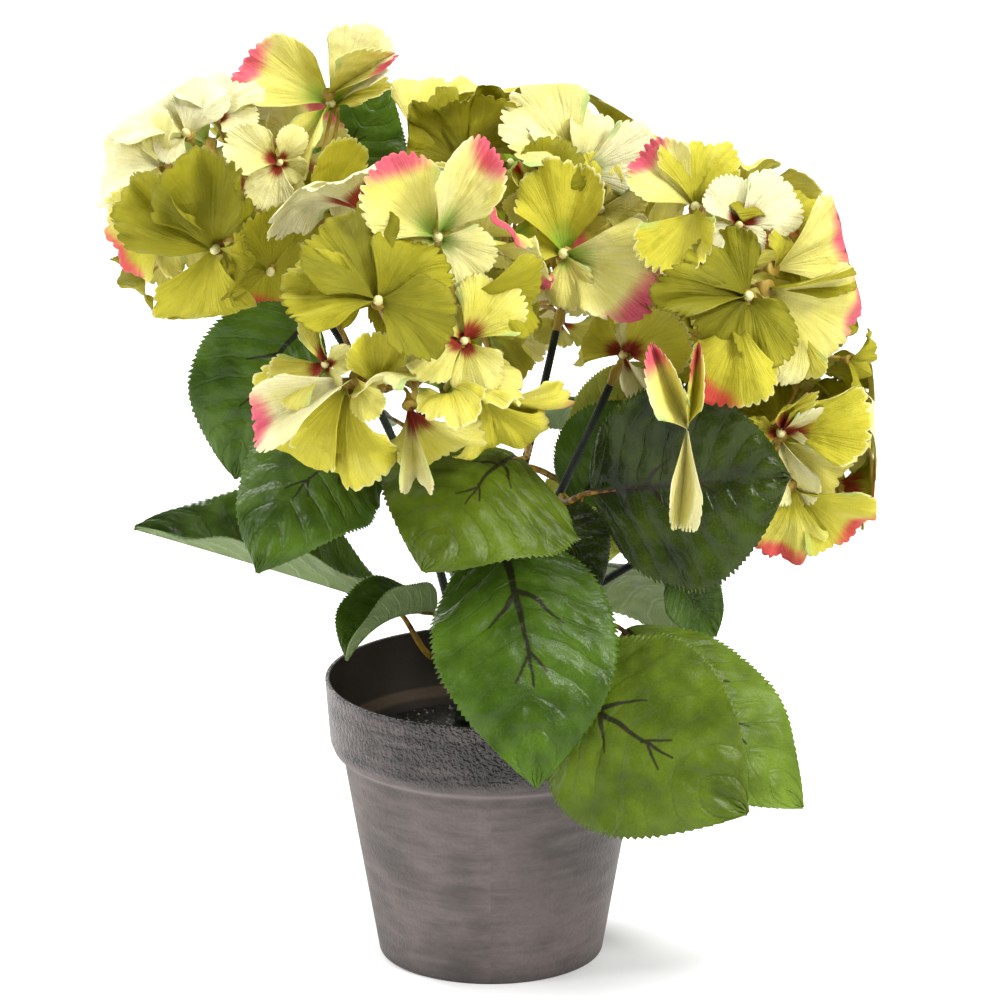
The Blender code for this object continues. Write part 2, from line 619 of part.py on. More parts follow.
def make_petal(name, corners, group):
    """A lens: a double pyramid moved onto the petal's corners."""
    shape = bmesh.new()
    bmesh.ops.create_uvsphere(shape, u_segments=len(PETAL_RIM), v_segments=2, radius=1)
    rim = sorted((v for v in shape.verts if abs(v.co.z) < 0.5), key=lambda v: atan2(v.co.y, v.co.x))
    poles = sorted((v for v in shape.verts if v not in rim), key=lambda v: -v.co.z)
    for vertex, corner in zip(rim + poles, corners):
        vertex.co = corner
    return mesh_object(name, shape, group)


def twig(name, start, end, radius, group):
    """A three-sided twig between two points."""
    way = end - start
    shape = bmesh.new()
    bmesh.ops.create_cone(shape, cap_ends=True, segments=3, radius1=radius, radius2=radius * TWIG_TAPER,
                          depth=way.length)
    turn = way.to_track_quat("Z", "Y").to_matrix().to_4x4()
    bmesh.ops.transform(shape, matrix=Matrix.Translation((start + end) / 2) @ turn, verts=shape.verts)
    return mesh_object(name, shape, group)


def make_head(name, group, material):
    """Short stem, forked twigs and florets of four petals, joined."""
    centre, radius = cm(HEADS[name][1]), HEADS[name][2] * CM
    _, middle, tip = stem_line(HEADS[name][0])
    way = (tip - middle).normalized()
    foot, hub = tip + way * GAP, tip + way * HUB_HEIGHT
    space = head_space(name)
    forks = [hub + (centre + toward * radius - hub) * FORK_AT for toward in spread_headings(TWIG_FORKS)]
    pieces = [tube(name + "_foot", [foot, (foot + hub) / 2, hub], [HEAD_STEM_RADIUS] * 2, 6, group)]
    found = florets(name)
    hearts = [kept_in(heart, space, reach) for heart, _, _, reach in found]
    held = [heart for heart, (*_, reach) in zip(hearts, found) if reach < HANGING]
    used = set()
    for i, (heart, (_, facing, petals, reach)) in enumerate(zip(hearts, found)):
        if reach > HANGING:
            start = min(held, key=lambda other: (other - heart).length)
        else:
            back = heart - facing * HEART_RADIUS
            nearest = min(range(TWIG_FORKS), key=lambda k: (forks[k] - back).length)
            used.add(nearest)
            start = forks[nearest]
        sunk = TWIG_RADIUS * (1 + i % SINK_STEPS) / SINK_STEPS
        start = start - (heart - start).normalized() * sunk
        pieces.append(twig(f"{name}_pedicel_{i}", start, heart, TWIG_RADIUS, group))
        axes = floret_axes(facing)
        bead = bmesh.new()
        bmesh.ops.create_uvsphere(bead, u_segments=5, v_segments=2, radius=HEART_RADIUS)
        bmesh.ops.transform(bead, matrix=Matrix.Translation(heart) @ axes.to_4x4(), verts=bead.verts)
        pieces.append(mesh_object(f"{name}_heart_{i}", bead, group))
        for k, (turn, size, pinch) in enumerate(petals):
            frame = axes @ Matrix.Rotation(radians(turn), 3, "Z")
            corners = petal_corners(PETAL_LENGTH * size, pinch)
            settled = [kept_in(heart + frame @ corner, space, reach) for corner in corners]
            pieces.append(make_petal(f"{name}_petal_{i}_{k}", settled, group))
    for k in used:
        out = (forks[k] - hub).normalized() * TWIG_RADIUS
        pieces.append(twig(f"{name}_fork_{k}", hub - out, forks[k] + out, FORK_RADIUS, group))
    return joined(name, pieces, HEAD_KEEP, group, material)


def main():
    clear_scene()
    group = collection("hydrangea")
    materials = {kind: finish(kind) for kind in COLOURS}
    make_pot(group, materials["pot"])
    make_filler(group, materials["filler"])
    make_limb("stalk", stalk_line(), STALK_RADII, STALK_PARTS, group, materials["stem"])
    for name in STEMS:
        make_limb(name, stem_line(name), STEM_RADII, STEM_PARTS, group, materials["stem"])
    for name, leaf in LEAVES.items():
        make_leaf(name, leaf, group, materials["leaf"])
    for name in HEADS:
        make_head(name, group, materials["head"])


main()
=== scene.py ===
"""Looks of the artificial potted hydrangea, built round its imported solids.

Metres, +Z up, the plant's front faces -Y. A bearing turns from the front towards the right (+X), and a
rise goes up from level, in degrees.
"""

from math import cos, pi, radians, sin, sqrt

import bpy
import numpy as np
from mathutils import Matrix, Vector


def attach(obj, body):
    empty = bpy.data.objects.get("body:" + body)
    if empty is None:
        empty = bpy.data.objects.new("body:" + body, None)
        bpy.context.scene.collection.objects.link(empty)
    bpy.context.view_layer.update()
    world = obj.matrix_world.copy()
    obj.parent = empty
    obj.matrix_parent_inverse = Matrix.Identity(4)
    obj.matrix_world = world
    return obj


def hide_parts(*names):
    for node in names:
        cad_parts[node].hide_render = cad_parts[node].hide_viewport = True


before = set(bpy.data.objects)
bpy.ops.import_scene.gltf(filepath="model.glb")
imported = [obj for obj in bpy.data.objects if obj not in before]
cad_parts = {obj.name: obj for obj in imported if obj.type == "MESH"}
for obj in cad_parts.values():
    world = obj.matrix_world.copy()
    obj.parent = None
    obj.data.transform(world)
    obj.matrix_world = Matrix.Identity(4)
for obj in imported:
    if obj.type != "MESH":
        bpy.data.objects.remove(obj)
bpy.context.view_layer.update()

CM = 0.01
GAP = 0.0003

# Pot, as in the solids
POT_STEPS = 160
POT_HEIGHT = 11.65 * CM
RIM_RADIUS = 6.75 * CM
COLLAR_FOOT_RADIUS = 6.55 * CM
COLLAR_FOOT_Z = 9.05 * CM
BODY_TOP_RADIUS = 6.0 * CM
BODY_TOP_Z = 8.2 * CM
BASE_RADIUS = 4.6 * CM
BASE_CHAMFER = 0.06 * CM
WALL = 0.2 * CM
LEDGE_TOP_Z = 9.2 * CM
LEDGE_FOOT_Z = 8.85 * CM
LEDGE_LEAN = 0.05 * CM
SHOULDER_STEP = (0.14 * CM, 0.34 * CM)
LIP_ROUND = 0.06 * CM
COLLAR_EDGE = (0.02 * CM, 0.14 * CM)
CORNER_CUT = 0.3
COVE_STEPS = 6
WALL_STEPS = 9
ARC_STEPS = 5

# Filler: rough, nearly flat, with pale grit
FILLER_TOP_Z = 8.7 * CM
FILLER_CROWN = 0.12 * CM
FILLER_RINGS = 28
FILLER_SPOKES = 96
FILLER_ROUGH = 0.16 * CM
GRIT_COUNT = 900
GRIT_SIZE = 0.05 * CM
GRIT_UNEVEN = (0.4, 1.5)  # smallest and largest stone, in grit sizes
GRIT_TURN = 3.0  # radians

# Stalk and stems: (bearing of the foot on the stalk's top or None, middle, tip), in centimetres
STALK = ((-0.8, 0.0, 8.85), (-0.8, 0.0, 10.6), (-0.8, 0.0, 12.4))
STALK_RADII = (0.78 * CM, 0.7 * CM)
STEM_RADII = (0.2 * CM, 0.17 * CM)
FOOT_RING = 0.46 * CM
STEMS = {
    "stem_middle": (None, (1.15, -0.75, 20.0), (2.62, 0.5, 26.0)),
    "stem_right": (40, (2.45, -1.7, 19.2), (4.75, -1.5, 24.3)),
    "stem_low_right": (100, (4.1, -0.7, 15.6), (9.6, -0.9, 19.0)),
    "stem_front_left": (-30, (-1.7, -1.5, 18.5), (-2.8, -2.7, 23.6)),
    "stem_left": (-100, (-3.6, 1.3, 20.4), (-7.4, 1.9, 27.4)),
    "stem_back": (170, (-0.9, 3.3, 18.6), (-0.2, 6.8, 22.6)),
}
RING_PITCH = 0.17 * CM  # moulded rings along a stem
RING_RISE = 0.09  # share of the stem's radius
RING_SAMPLES = 3
STALK_SIDES = 20
LIMB_SIDES = 10

# Flower heads: (stem, centre in centimetres, radius in centimetres to the florets' hearts)
HEADS = {
    "head_front_left": ("stem_front_left", (-3.85, -4.5, 27.95), 4.9),
    "head_left": ("stem_left", (-10.05, 2.0, 30.85), 4.2),
    "head_middle": ("stem_middle", (2.2, 3.5, 30.4), 4.2),
    "head_right": ("stem_right", (9.65, -1.5, 28.2), 4.2),
    "head_low_right": ("stem_low_right", (11.95, -1.0, 21.7), 3.2),
    "head_back": ("stem_back", (0.8, 10.6, 26.6), 4.4),
}
# Florets that face the front: bearing and rise of the heart on the head, its distance in head radii,
# bearing and rise that it faces, directions of its petals, sizes, pinches, then its tones from 0, cream,
# by 0.5, lime, to 1, olive, partly the cloth's dye and partly painted light and shade, cream for lit
# petals and olive for shaded ones, then what is sprayed at its heart, and which petals have pink tips.
# One number stands for all four petals; a shorter list leaves the others out.
FRONT_FLORETS = {
    "head_front_left": (
        (-5, 20, 1, -5, 35, (50, 130, 178, 335), (0.85, 0.95, 0.9, 0.8), 0.15, 0.9, "", ()),
        (35, 50, 1, 5, 15, (60, 135, 200, 330), (1.0, 0.9, 0.4, 0.65), (0.6, 0.15, 0.2, 0.3),
         0.3, "green", (0, 1)),
        (35, 0, 1, 10, 20, (50, 190, 290, 110), (0.75, 0.65, 0.55, 0.35), 0.1, 0.35, "red", ()),
        (-30, -10, 1, -20, 10, (100, 215, 300, 20), (0.65, 0.6, 0.3, 0.4), (0.8, 0.2, 0.2, 0.5),
         0.3, "red", ()),
        (-15, -15, 1, -30, 10, (214, 310), (1.15, 0.45), (0.6, 0.2), (0.12, 0.4), "", (0,)),
        (-20, -20, 1, -20, -10, (218, 270), (1.15, 1.0), 0.1, 0.55, "", ()),
        (-25, -35, 1, -15, -25, (228,), (1.15,), 0.3, 0.55, "", (0,)),
        (10, -30, 1, 5, -30, (275, 305), (0.85, 0.9), (0.75, 0.1), (0.15, 0.5), "red", ()),
        (55, -30, 1, 30, -25, (300, 340), (1.0, 0.95), (0.15, 0.2), 0.5, "", (1,)),
        (30, -25, 1, 0, 75, 0, (0.8, 0.6, 1.0, 0.7), 0.2, 0.4, "green", (2,)),
        (40, 20, 1, 30, 20, (345,), 0.85, 0.3, 0.8, "", ()),
        (-5, -20, 1, 0, 0, (95,), 0.6, 0.1, 0.6, "", ()),
    ),
    "head_left": (
        (105, 45, 1.3, -20, 30, (48, 160, 255, 20), (0.95, 0.9, 0.95, 0.65), (0.5, 0.1, 0.6, 0.6),
         (0.1, 0.4, 0.35, 0.45), "green", (1,)),
        (100, 50, 1.35, -10, 20, (30,), 0.8, 0.8, 0.3, "", (0,)),
        (30, 35, 1, 10, 10, 60, (0.4, 0.6, 0.5, 0.3), 0.3, 0.2, "red", ()),
        (-10, -10, 1, -15, -10, (85, 140, 262, 345), (1.1, 1.05, 1.1, 0.75), (0.1, 0.4, 0.05, 0.1),
         (1.0, 0.95, 0.5, 0.75), "", ()),
        (-30, 5, 1, -30, -5, (200, 235), (0.9, 0.75), 0.1, 0.45, "", (0,)),
        (-50, 30, 1, -40, 20, (190, 110), (0.85, 0.5), 0.1, 0.1, "", ()),
        (-45, 50, 1, -30, 45, (170, 80, 250), (0.8, 0.6, 0.4), 0.1, 0.05, "", ()),
        (-25, 65, 1, -15, 60, (50, 130, 350), (0.55, 0.6, 0.45), 0.15, 0.05, "pink", ()),
        (20, -25, 1, 15, -15, (170, 80, 350), (0.5, 0.8, 0.6), 0.2, 0.75, "", ()),
        (50, 0, 1, 40, 0, (75, 255), (0.8, 0.6), 0.3, 0.7, "", ()),
        (-75, -35, 1.1, -50, -30, (235, 160), (0.5, 0.4), 0.2, 0.9, "", ()),
    ),
    "head_middle": (
        (8, -8, 1.25, -12, 25, (-20, 95, 165, 285), (1.1, 0.9, 0.35, 0.55), (0.1, 0.1, 0.3, 0.2),
         (0.2, 0.65, 0.5, 0.3), "green", (0,)),
        (-60, 30, 1, -170, 25, (95, 40, 140, 15), (0.95, 0.9, 1.0, 0.75), 0.1, 0.95, "", ()),
        (-95, 25, 1.3, -60, 50, (110,), 0.95, 0.1, 0.35, "", ()),
        (20, 30, 1, 20, 30, (5, 65, 100, 128), (0.85, 0.65, 0.85, 1.05), 0.1,
         (0.05, 0.1, 0.1, 0.2), "green", ()),
        (30, 10, 1, 20, 20, (25, 345, 100), (0.65, 0.8, 0.55), 0.1, (0.4, 0.35, 0.5), "", ()),
        (-5, 15, 1, -10, 20, (55, 120, 200), (0.65, 0.45, 0.35), (0.1, 0.8, 0.3),
         (0.85, 0.6, 0.4), "", (1,)),
        (30, -75, 1.1, 10, -25, (350, 190, 260), (0.5, 0.3, 0.3), 0.2, 0.4, "red", ()),
    ),
    "head_right": (
        (-85, -30, 1.2, -15, 10, (150, 30, 65, 305), (0.6, 0.8, 0.4, 0.6), (0.2, 0.3, 0.1, 0.7),
         (0.45, 0.4, 0.15, 0.1), "red", ()),
        (-20, -35, 1.7, 0, 0, (112, 84, 265), (1.0, 0.9, 0.95), (0.8, 0.9, 0.8),
         (0.3, 0.4, 0.25), "", (0, 1)),
        (0, 0, 1.12, 0, 10, (258,), 0.85, 0.1, 0.6, "", (0,)),
        (5, 10, 1, 0, 30, (125, 185, 295, 215), (0.75, 1.0, 0.65, 0.6), (0.1, 0.6, 0.1, 0.1), 0.95, "", ()),
        (-50, 60, 1, -10, 35, (145, 85, 55, 262), (0.75, 0.75, 0.35, 0.85), (0.2, 0.1, 0.1, 0.2),
         (0.15, 0.45, 0.85, 0.6), "", (0,)),
        (0, 50, 1, 5, 35, 30, (0.7, 0.5, 0.35, 0.35), 0.1, 0.0, "pink", ()),
        (30, 50, 1, 30, 45, (30, 120), (0.6, 0.55), 0.15, 0.75, "", ()),
        (20, 25, 1, 40, 15, (18, 60), (0.9, 0.4), 0.15, (0.3, 0.45), "", (0,)),
        (15, 15, 1, 30, 0, (335, 8), (1.1, 0.9), (0.1, 0.8), (0.35, 0.8), "", (0,)),
        (80, -30, 1.25, 60, 0, (20, 300), (0.4, 0.35), 0.3, 0.8, "", ()),
        (35, -10, 1, 30, -15, (230, 265), (0.6, 0.5), 0.3, 0.25, "", ()),
    ),
    "head_low_right": (
        (-10, 25, 1, -5, 5, (80, 25, 15, 180), (0.75, 0.95, 0.6, 0.45), (0.6, 0.3, 0.5, 0.2),
         (0.7, 0.5, 0.1, 0.5), "red", ()),
        (-10, 20, 1, 10, -10, (325, 285), (0.85, 0.7), (0.1, 0.5), (0.45, 0.1), "", ()),
        (0, -15, 1, 10, -25, (330, 262), (0.95, 0.85), 0.1, 0.5, "", (0, 1)),
    ),
    "head_back": (),
}
# Planes that a head keeps behind, beside its neighbours' room: a point, and bearing and rise of the way out
SCREENS = {
    "head_front_left": (
        ((-6.0, -1.6, 25.5), (-120, -20)), ((-3.0, -1.4, 24.0), (180, -45)),
        ((0.0, -6.2, 23.0), (195, -62))),
    "head_left": (
        ((-6.5, 6.6, 33.0), (140, 0)), ((-8.0, -0.3, 27.3), (20, -70)), ((-12.0, 2.0, 35.8), (-115, 56))),
    "head_middle": (
        ((-3.0, 7.0, 32.5), (-120, 0)), ((4.2, 3.5, 34.8), (116, 56)), ((0.4, 3.5, 35.2), (180, 74))),
    "head_right": (((8.2, -1.5, 34.8), (180, 74)), ((13.6, -1.5, 30.8), (94, 14))),
    "head_back": (((-3.2, 9.0, 30.0), (-90, 20)),),
    "head_low_right": (
        ((11.0, -5.2, 21.9), (-20, 0)), ((7.8, 0.0, 21.5), (-100, 10)), ((15.2, -1.0, 21.6), (90, 0))),
}
LOOSE = 1.2  # a front floret with its heart farther out, in head radii, hangs free of its head's planes
HANGING = 1.5  # and one beyond this hangs from the nearest heart

# Florets that are spread by rule, out of sight and at the sides
SPREAD_POINTS = 34  # ways tried round a head
FLORETS_APART = 44  # degrees between florets, as the next two
STEM_CLEAR = 48
SPIN_STEP = 137.5
SPREAD_SIZES = (0.85, 0.95, 0.8, 0.9)
SPREAD_TURNS = (0, 87, 184, 266)
SPREAD_UNEVEN = (1.0, 0.9, 1.05, 0.95)
SPREAD_REACH = 0.92
SPREAD_PINCH = 0.15
SPREAD_TONES = (0.1, 0.3, 0.45, 0.55, 0.7, 0.9)
SPREAD_SPRAYS = ("", "", "green", "red")
SPREAD_TIPS = 0.28  # share of petals with a pink tip

# A head's space: petals of spread florets are drawn in beyond its round, and all are pressed at planes
ROUND_EXCESS = 1.1 * CM  # from the florets' hearts out
ROUND_KEEP = 0.4  # share of what is beyond that is kept
PRESS_CLEAR = 0.4 * CM
PRESS_KEEP = 0.12

# Petal: the solids' fan, with a scalloped and ruffled margin
PETALS = 4
PETAL_LENGTH = 4.0 * CM
PETAL_SPREAD = 0.88  # half the fan's opening, in radians
PETAL_CLAW = 0.8  # share of the opening at the claw
PETAL_SHOULDER = 0.36  # how much shorter the fan is at its sides
PETAL_RISE = 0.62
PETAL_DROOP = 0.5
PETAL_CLOTH = 0.025 * CM
PETAL_SHARES = (0.03, 0.15, 0.3, 0.45, 0.6, 0.74, 0.86, 0.95, 1.0)
LOBES = 17
LOBE_SAMPLES = 3
SCALLOP = 0.05  # depth of the slits between the lobes, as a share of the petal's length
SLIT_UNEVEN = (0.0, 1.8)
LOBED_FROM = 0.84  # share of the length from which slits deepen
LOBE_BLUNT = 0.45
# Unevenness of a petal's outline, then its ruffles and curl, as shares of its length
OUTLINE_UNEVEN = (0.06, 0.05, 0.02)
FAN_UNEVEN = 0.05
BROAD_RUFFLE = (0.04, 0.12)
BROAD_WAVES = (1.2, 2.2)
FINE_RUFFLE = (0.03, 0.065)
FINE_WAVES = (3, 5)
SLANTED_RUFFLE = 0.05
SLANTED_WAVES = (1.6, 2.8)
PLEATS = ((0.0025, 9), (0.002, 15))  # height and number of half waves
CURL_BACK = (-0.04, 0.15)  # mean and deviation
CURL_ASIDE = 0.09
SIDE_LIFT = 0.08
CRUMPLE_PALE = 0.7  # how far the ruffles go on a cream petal, and on an olive one
CRUMPLE_OLIVE = 1.6
TONE_UNEVEN = 0.06
TIP_ASIDE = 0.35  # how far a pink tip may sit to the side
CELL_MARGIN = 0.06  # of a petal's cell in the map OFBake

# Hearts, twigs and the heads' short stems
HEART_RADIUS = 0.34 * CM
TWIG_RADIUS = 0.09 * CM
FORK_RADIUS = 0.12 * CM
TWIG_FORKS = 12
TWIG_SIDES = 7
TWIG_PARTS = 9
FORK_AT = 0.45
HEAD_STEM_RADIUS = 0.17 * CM
HEAD_STEM_SWELL = (1, 1.1, 1.5, 1.3, 0.6)
HUB_HEIGHT = 1.0 * CM
# Profiles of the small forms at a floret's heart: radius and height in centimetres
BEAD = ((0, 0.52), (0.1, 0.48), (0.18, 0.36), (0.2, 0.22), (0.16, 0.08), (0.09, -0.06), (0, -0.1))
CALYX = ((0, 0.06), (0.3, 0.12), (0.33, 0.06), (0.24, -0.12), (0.13, -0.38), (0.095, -0.6), (0, -0.62))
HEART_SIZES = (0.3, 0.75, 1.1)  # least size of a heart, what a petal's size adds, and the most
FORM_SIDES = 10

# Leaf: (stem, share of the stem's length, root, middle and tip of its midrib, bearing and rise of its
#        face, width, fold and twist in degrees, finish), in centimetres
LEAVES = {
    "leaf_far_left": (
        "stalk", 0.97, (-4.3, -0.8, 15.0), (-9.2, -0.5, 16.5), (-14.4, 0.4, 17.8),
        (0, 96), 6.6, 34, -20, "mid"),
    "leaf_left_high": (
        "stem_left", 0.7, (-7.0, -0.6, 26.8), (-9.2, -1.2, 24.2), (-10.2, -1.0, 20.3),
        (-15, 15), 5.8, 8, 0, "mid"),
    "leaf_left": (
        "stem_front_left", 0.86, (-4.2, -4.1, 22.0), (-7.0, -6.0, 21.9), (-9.1, -7.7, 18.4),
        (-10, 56), 6.4, -8, 0, "mid"),
    "leaf_front": (
        "stem_middle", 0.62, (1.2, -3.7, 21.9), (-0.4, -6.5, 21.8), (-2.6, -9.2, 18.9),
        (15, 62), 8.9, -12, 0, "bright"),
    "leaf_small_left": (
        "stalk", 0.9, (-2.3, -2.2, 15.0), (-4.2, -3.8, 15.2), (-5.7, -5.2, 14.0),
        (180, 78), 4.0, 50, 0, "mid"),
    "leaf_centre": (
        "stem_front_left", 0.45, (0.2, -4.0, 18.8), (1.4, -7.4, 15.4), (1.8, -9.0, 10.0),
        (5, 25), 7.4, -8, 0, "mid"),
    # Its dark finish is partly painted shade, from the hanging floret and stem above it
    "leaf_centre_dark": (
        "stem_right", 0.34, (2.0, -2.2, 19.0), (3.2, -2.8, 18.2), (4.3, -3.1, 16.2),
        (25, 25), 3.2, 12, 0, "dark"),
    "leaf_low_right": (
        "stem_low_right", 0.2, (2.6, -5.9, 13.4), (5.8, -8.0, 11.7), (10.1, -8.8, 8.9),
        (-5, 14), 8.4, -6, 0, "bright"),
    "leaf_right": (
        "stem_low_right", 0.35, (5.3, -3.2, 14.6), (9.0, -5.0, 11.6), (12.4, -5.2, 7.8),
        (20, 30), 5.8, -8, 0, "fresh"),
    "leaf_right_dark": (
        "stem_right", 0.56, (4.0, -4.4, 20.7), (7.8, -6.0, 21.5), (11.7, -6.3, 21.9),
        (5, 5), 8.4, 5, 0, "dark"),
    "leaf_right_high": (
        "stem_middle", 0.55, (3.9, 1.3, 19.6), (5.1, 1.7, 22.3), (6.5, 2.2, 24.2),
        (0, 5), 3.6, 8, 0, "pale"),
    "leaf_right_mid": (
        "stem_middle", 0.42, (3.6, -0.2, 19.0), (4.9, 0.0, 21.0), (7.0, 0.2, 22.4),
        (5, 15), 4.6, 8, 0, "mid"),
    "leaf_right_small": (
        "stem_low_right", 0.72, (7.2, -1.4, 16.3), (8.0, -1.3, 15.4), (9.1, -0.8, 13.6),
        (20, 20), 2.8, 18, 0, "mid"),
    "leaf_pale": (
        "stem_middle", 0.2, (1.7, 1.6, 16.9), (3.6, 2.2, 17.2), (5.6, 2.6, 16.4),
        (5, 25), 5.0, 12, 0, "pale"),
    "leaf_top": (
        "stem_left", 0.9, (-6.2, 7.6, 28.6), (-5.8, 8.6, 31.5), (-4.2, 9.2, 34.3),
        (0, 10), 5.0, 8, 0, "mid"),
    "leaf_back": (
        "stem_back", 0.45, (-1.0, 5.2, 17.6), (0.4, 9.0, 15.4), (1.2, 10.6, 10.4),
        (180, 30), 7.4, -8, 0, "mid"),
    "leaf_back_left": (
        "stem_back", 0.7, (-3.9, 6.4, 20.6), (-7.4, 8.2, 21.6), (-10.6, 9.4, 20.0),
        (200, 60), 7.0, -8, 0, "dark"),
    "leaf_back_right": (
        "stem_back", 0.25, (2.4, 3.8, 14.8), (6.0, 6.6, 13.8), (8.8, 8.6, 9.8),
        (150, 40), 7.0, -8, 0, "bright"),
    "leaf_back_high": (
        "stem_back", 0.85, (0.6, 7.6, 20.8), (3.2, 9.4, 20.6), (5.4, 10.8, 18.4),
        (165, 60), 6.4, -8, 0, "mid"),
}
LEAF_ROOT, LEAF_TIP, LEAF_LEAN = 0.55, 0.95, 0.9  # powers and lean of the outline's formula
LEAF_WIDEST = 0.514  # of the formula
LEAF_NARROWEST = 0.02  # of the greatest width
LEAF_CLOTH = 0.05 * CM
LEAF_TEETH = 44
LEAF_COLUMNS = 21
TOOTH_ROWS = 3
TOOTH = 0.05  # how far a tooth stands out, as a share of the half width
TOOTH_UNEVEN = (0.5, 1.5)
TOOTH_LEAN = 0.3  # how far a tooth leans to the leaf's tip, in teeth
TOOTHED_TO = 0.97  # share of the length up to which teeth lean
VEIN_PAIRS = 8.75  # side veins from root to tip
VEIN_SWEEP = 0.2  # how far a side vein runs forward on its way to the margin, as a share of the length
QUILT = 0.14 * CM  # on a leaf as wide as QUILTED_WIDTH
QUILTED_WIDTH = 7 * CM
MIDRIB = (0.5, 0.05)  # depth in quilt heights, and half width as a share of the leaf's half width
RIPPLE = 0.022  # of the leaf's width, as the next
CURL = 0.018
CURL_WAVES = 0.8
RIPPLE_WAVES = (2.2, 3.6)
FLAT_ROOT = 0.08  # share of the length over which relief fades in
BAKE_MARGIN = 0.02
PETIOLE_RADIUS = 0.13 * CM
PETIOLE_PARTS = 14
PETIOLE_OVERLAP = 0.12
PETIOLE_BOW = (0.4, 0.35)
PETIOLE_FOOT = (1.0, 1.25)  # thicknesses in petiole radii, as the next
PETIOLE_TAPER = (1.1, 0.75)
PETIOLE_END = 0.35

# Camera as fitted to the pot: metres, degrees, and the lens in picture widths
CAMERA_PLACE = (0.0037, -2.106, 0.812)
CAMERA_DOWN = 16.43
CAMERA_LENS = 5.448


# Vectors and curves


def cm(point):
    return np.array(point, float) * CM


def unit(vectors):
    return vectors / np.linalg.norm(vectors, axis=-1, keepdims=True)


def heading(bearing, rise):
    """The unit vector at a bearing and a rise."""
    b, r = radians(bearing), radians(rise)
    return np.array((sin(b) * cos(r), -cos(b) * cos(r), sin(r)))


def through(line, share):
    """Points of the parabola through foot, middle and tip, middle at half way."""
    foot, middle, tip = line
    bend = 2 * middle - (foot + tip) / 2
    share = np.asarray(share, float)[..., None]
    return foot * (1 - share) ** 2 + bend * 2 * share * (1 - share) + tip * share**2


def turned_about(vectors, axes, angles):
    """Vectors turned about unit axes, by angles in radians."""
    c, s = np.cos(angles)[..., None], np.sin(angles)[..., None]
    along = np.sum(vectors * axes, axis=-1, keepdims=True)
    return vectors * c + np.cross(axes, vectors) * s + axes * along * (1 - c)


def square_to(vectors, axes):
    """Unit vectors as near as can be to vectors and square to axes."""
    return unit(vectors - axes * np.sum(vectors * axes, axis=-1, keepdims=True))


def stalk_line():
    return [cm(p) for p in STALK]


def stem_line(name):
    bearing, middle, tip = STEMS[name]
    foot = stalk_line()[2] + np.array((0, 0, GAP))
    if bearing is not None:
        foot = foot + heading(bearing, 0) * FOOT_RING
    return foot, cm(middle), cm(tip)


# Meshes


def mesh_piece(name, points, faces, materials, smooth=True, slots=None):
    """A mesh object at the origin."""
    mesh = bpy.data.meshes.new(name)
    faces = faces.tolist() if isinstance(faces, np.ndarray) else faces
    mesh.from_pydata(np.asarray(points).tolist(), [], faces)
    for material in materials:
        mesh.materials.append(material)
    if slots is not None:
        mesh.polygons.foreach_set("material_index", np.asarray(slots, np.int32))
    mesh.polygons.foreach_set("use_smooth", [smooth] * len(mesh.polygons))
    mesh.update()
    made = bpy.data.objects.new(name, mesh)
    bpy.context.scene.collection.objects.link(made)
    return made


def add_map(piece, name, places):
    """A UV map from one place for each point of the mesh."""
    mesh = piece.data
    corner_points = np.empty(len(mesh.loops), np.int32)
    mesh.loops.foreach_get("vertex_index", corner_points)
    layer = mesh.uv_layers.new(name=name)
    layer.data.foreach_set("uv", np.asarray(places, np.float32)[corner_points].ravel())


def add_values(piece, name, values, kind="FLOAT"):
    """A number, or a vector of three, for each point of the mesh."""
    attribute = piece.data.attributes.new(name, kind, "POINT")
    field = "value" if kind == "FLOAT" else "vector"
    attribute.data.foreach_set(field, np.asarray(values, np.float32).ravel())


def cloth_shell(grid, thickness):
    """Points and faces of a closed shell on a grid of points: its upper layer, then its lower one."""
    rows, columns, _ = grid.shape
    down, across = np.gradient(grid, axis=0), np.gradient(grid, axis=1)
    lift = unit(np.cross(down, across)) * thickness / 2
    points = np.concatenate([(grid + lift).reshape(-1, 3), (grid - lift).reshape(-1, 3)])
    number = np.arange(rows * columns).reshape(rows, columns)
    a, b, c, d = number[:-1, :-1], number[1:, :-1], number[1:, 1:], number[:-1, 1:]
    upper = np.stack([a, b, c, d], axis=-1).reshape(-1, 4)
    lower = upper[:, ::-1] + rows * columns
    ring = np.concatenate([number[:, 0], number[-1, 1:], number[-2::-1, -1], number[0, -2:0:-1]])
    after = np.roll(ring, -1)
    rim = np.stack([ring, ring + rows * columns, after + rows * columns, after], axis=-1)
    return points, np.concatenate([upper, lower, rim]), (len(upper), len(lower), len(rim))


def arc(centre, radius, start, end):
    """Points of an arc in (radius, height), its angles in degrees."""
    turns = np.radians(np.linspace(start, end, ARC_STEPS))
    return [(centre[0] + radius * cos(t), centre[1] + radius * sin(t)) for t in turns]


def ring_faces(rings):
    """Quads between closed rings of numbered points."""
    after = np.roll(rings, -1, axis=1)
    return np.stack([rings[:-1], rings[1:], after[1:], after[:-1]], axis=-1).reshape(-1, 4).tolist()


def fan(point, ring, down=False):
    """Triangles from a numbered point to a ring of them, turned up or down."""
    pairs = zip(ring, np.roll(ring, -1))
    return [[point, b, a] if down else [point, a, b] for a, b in pairs]


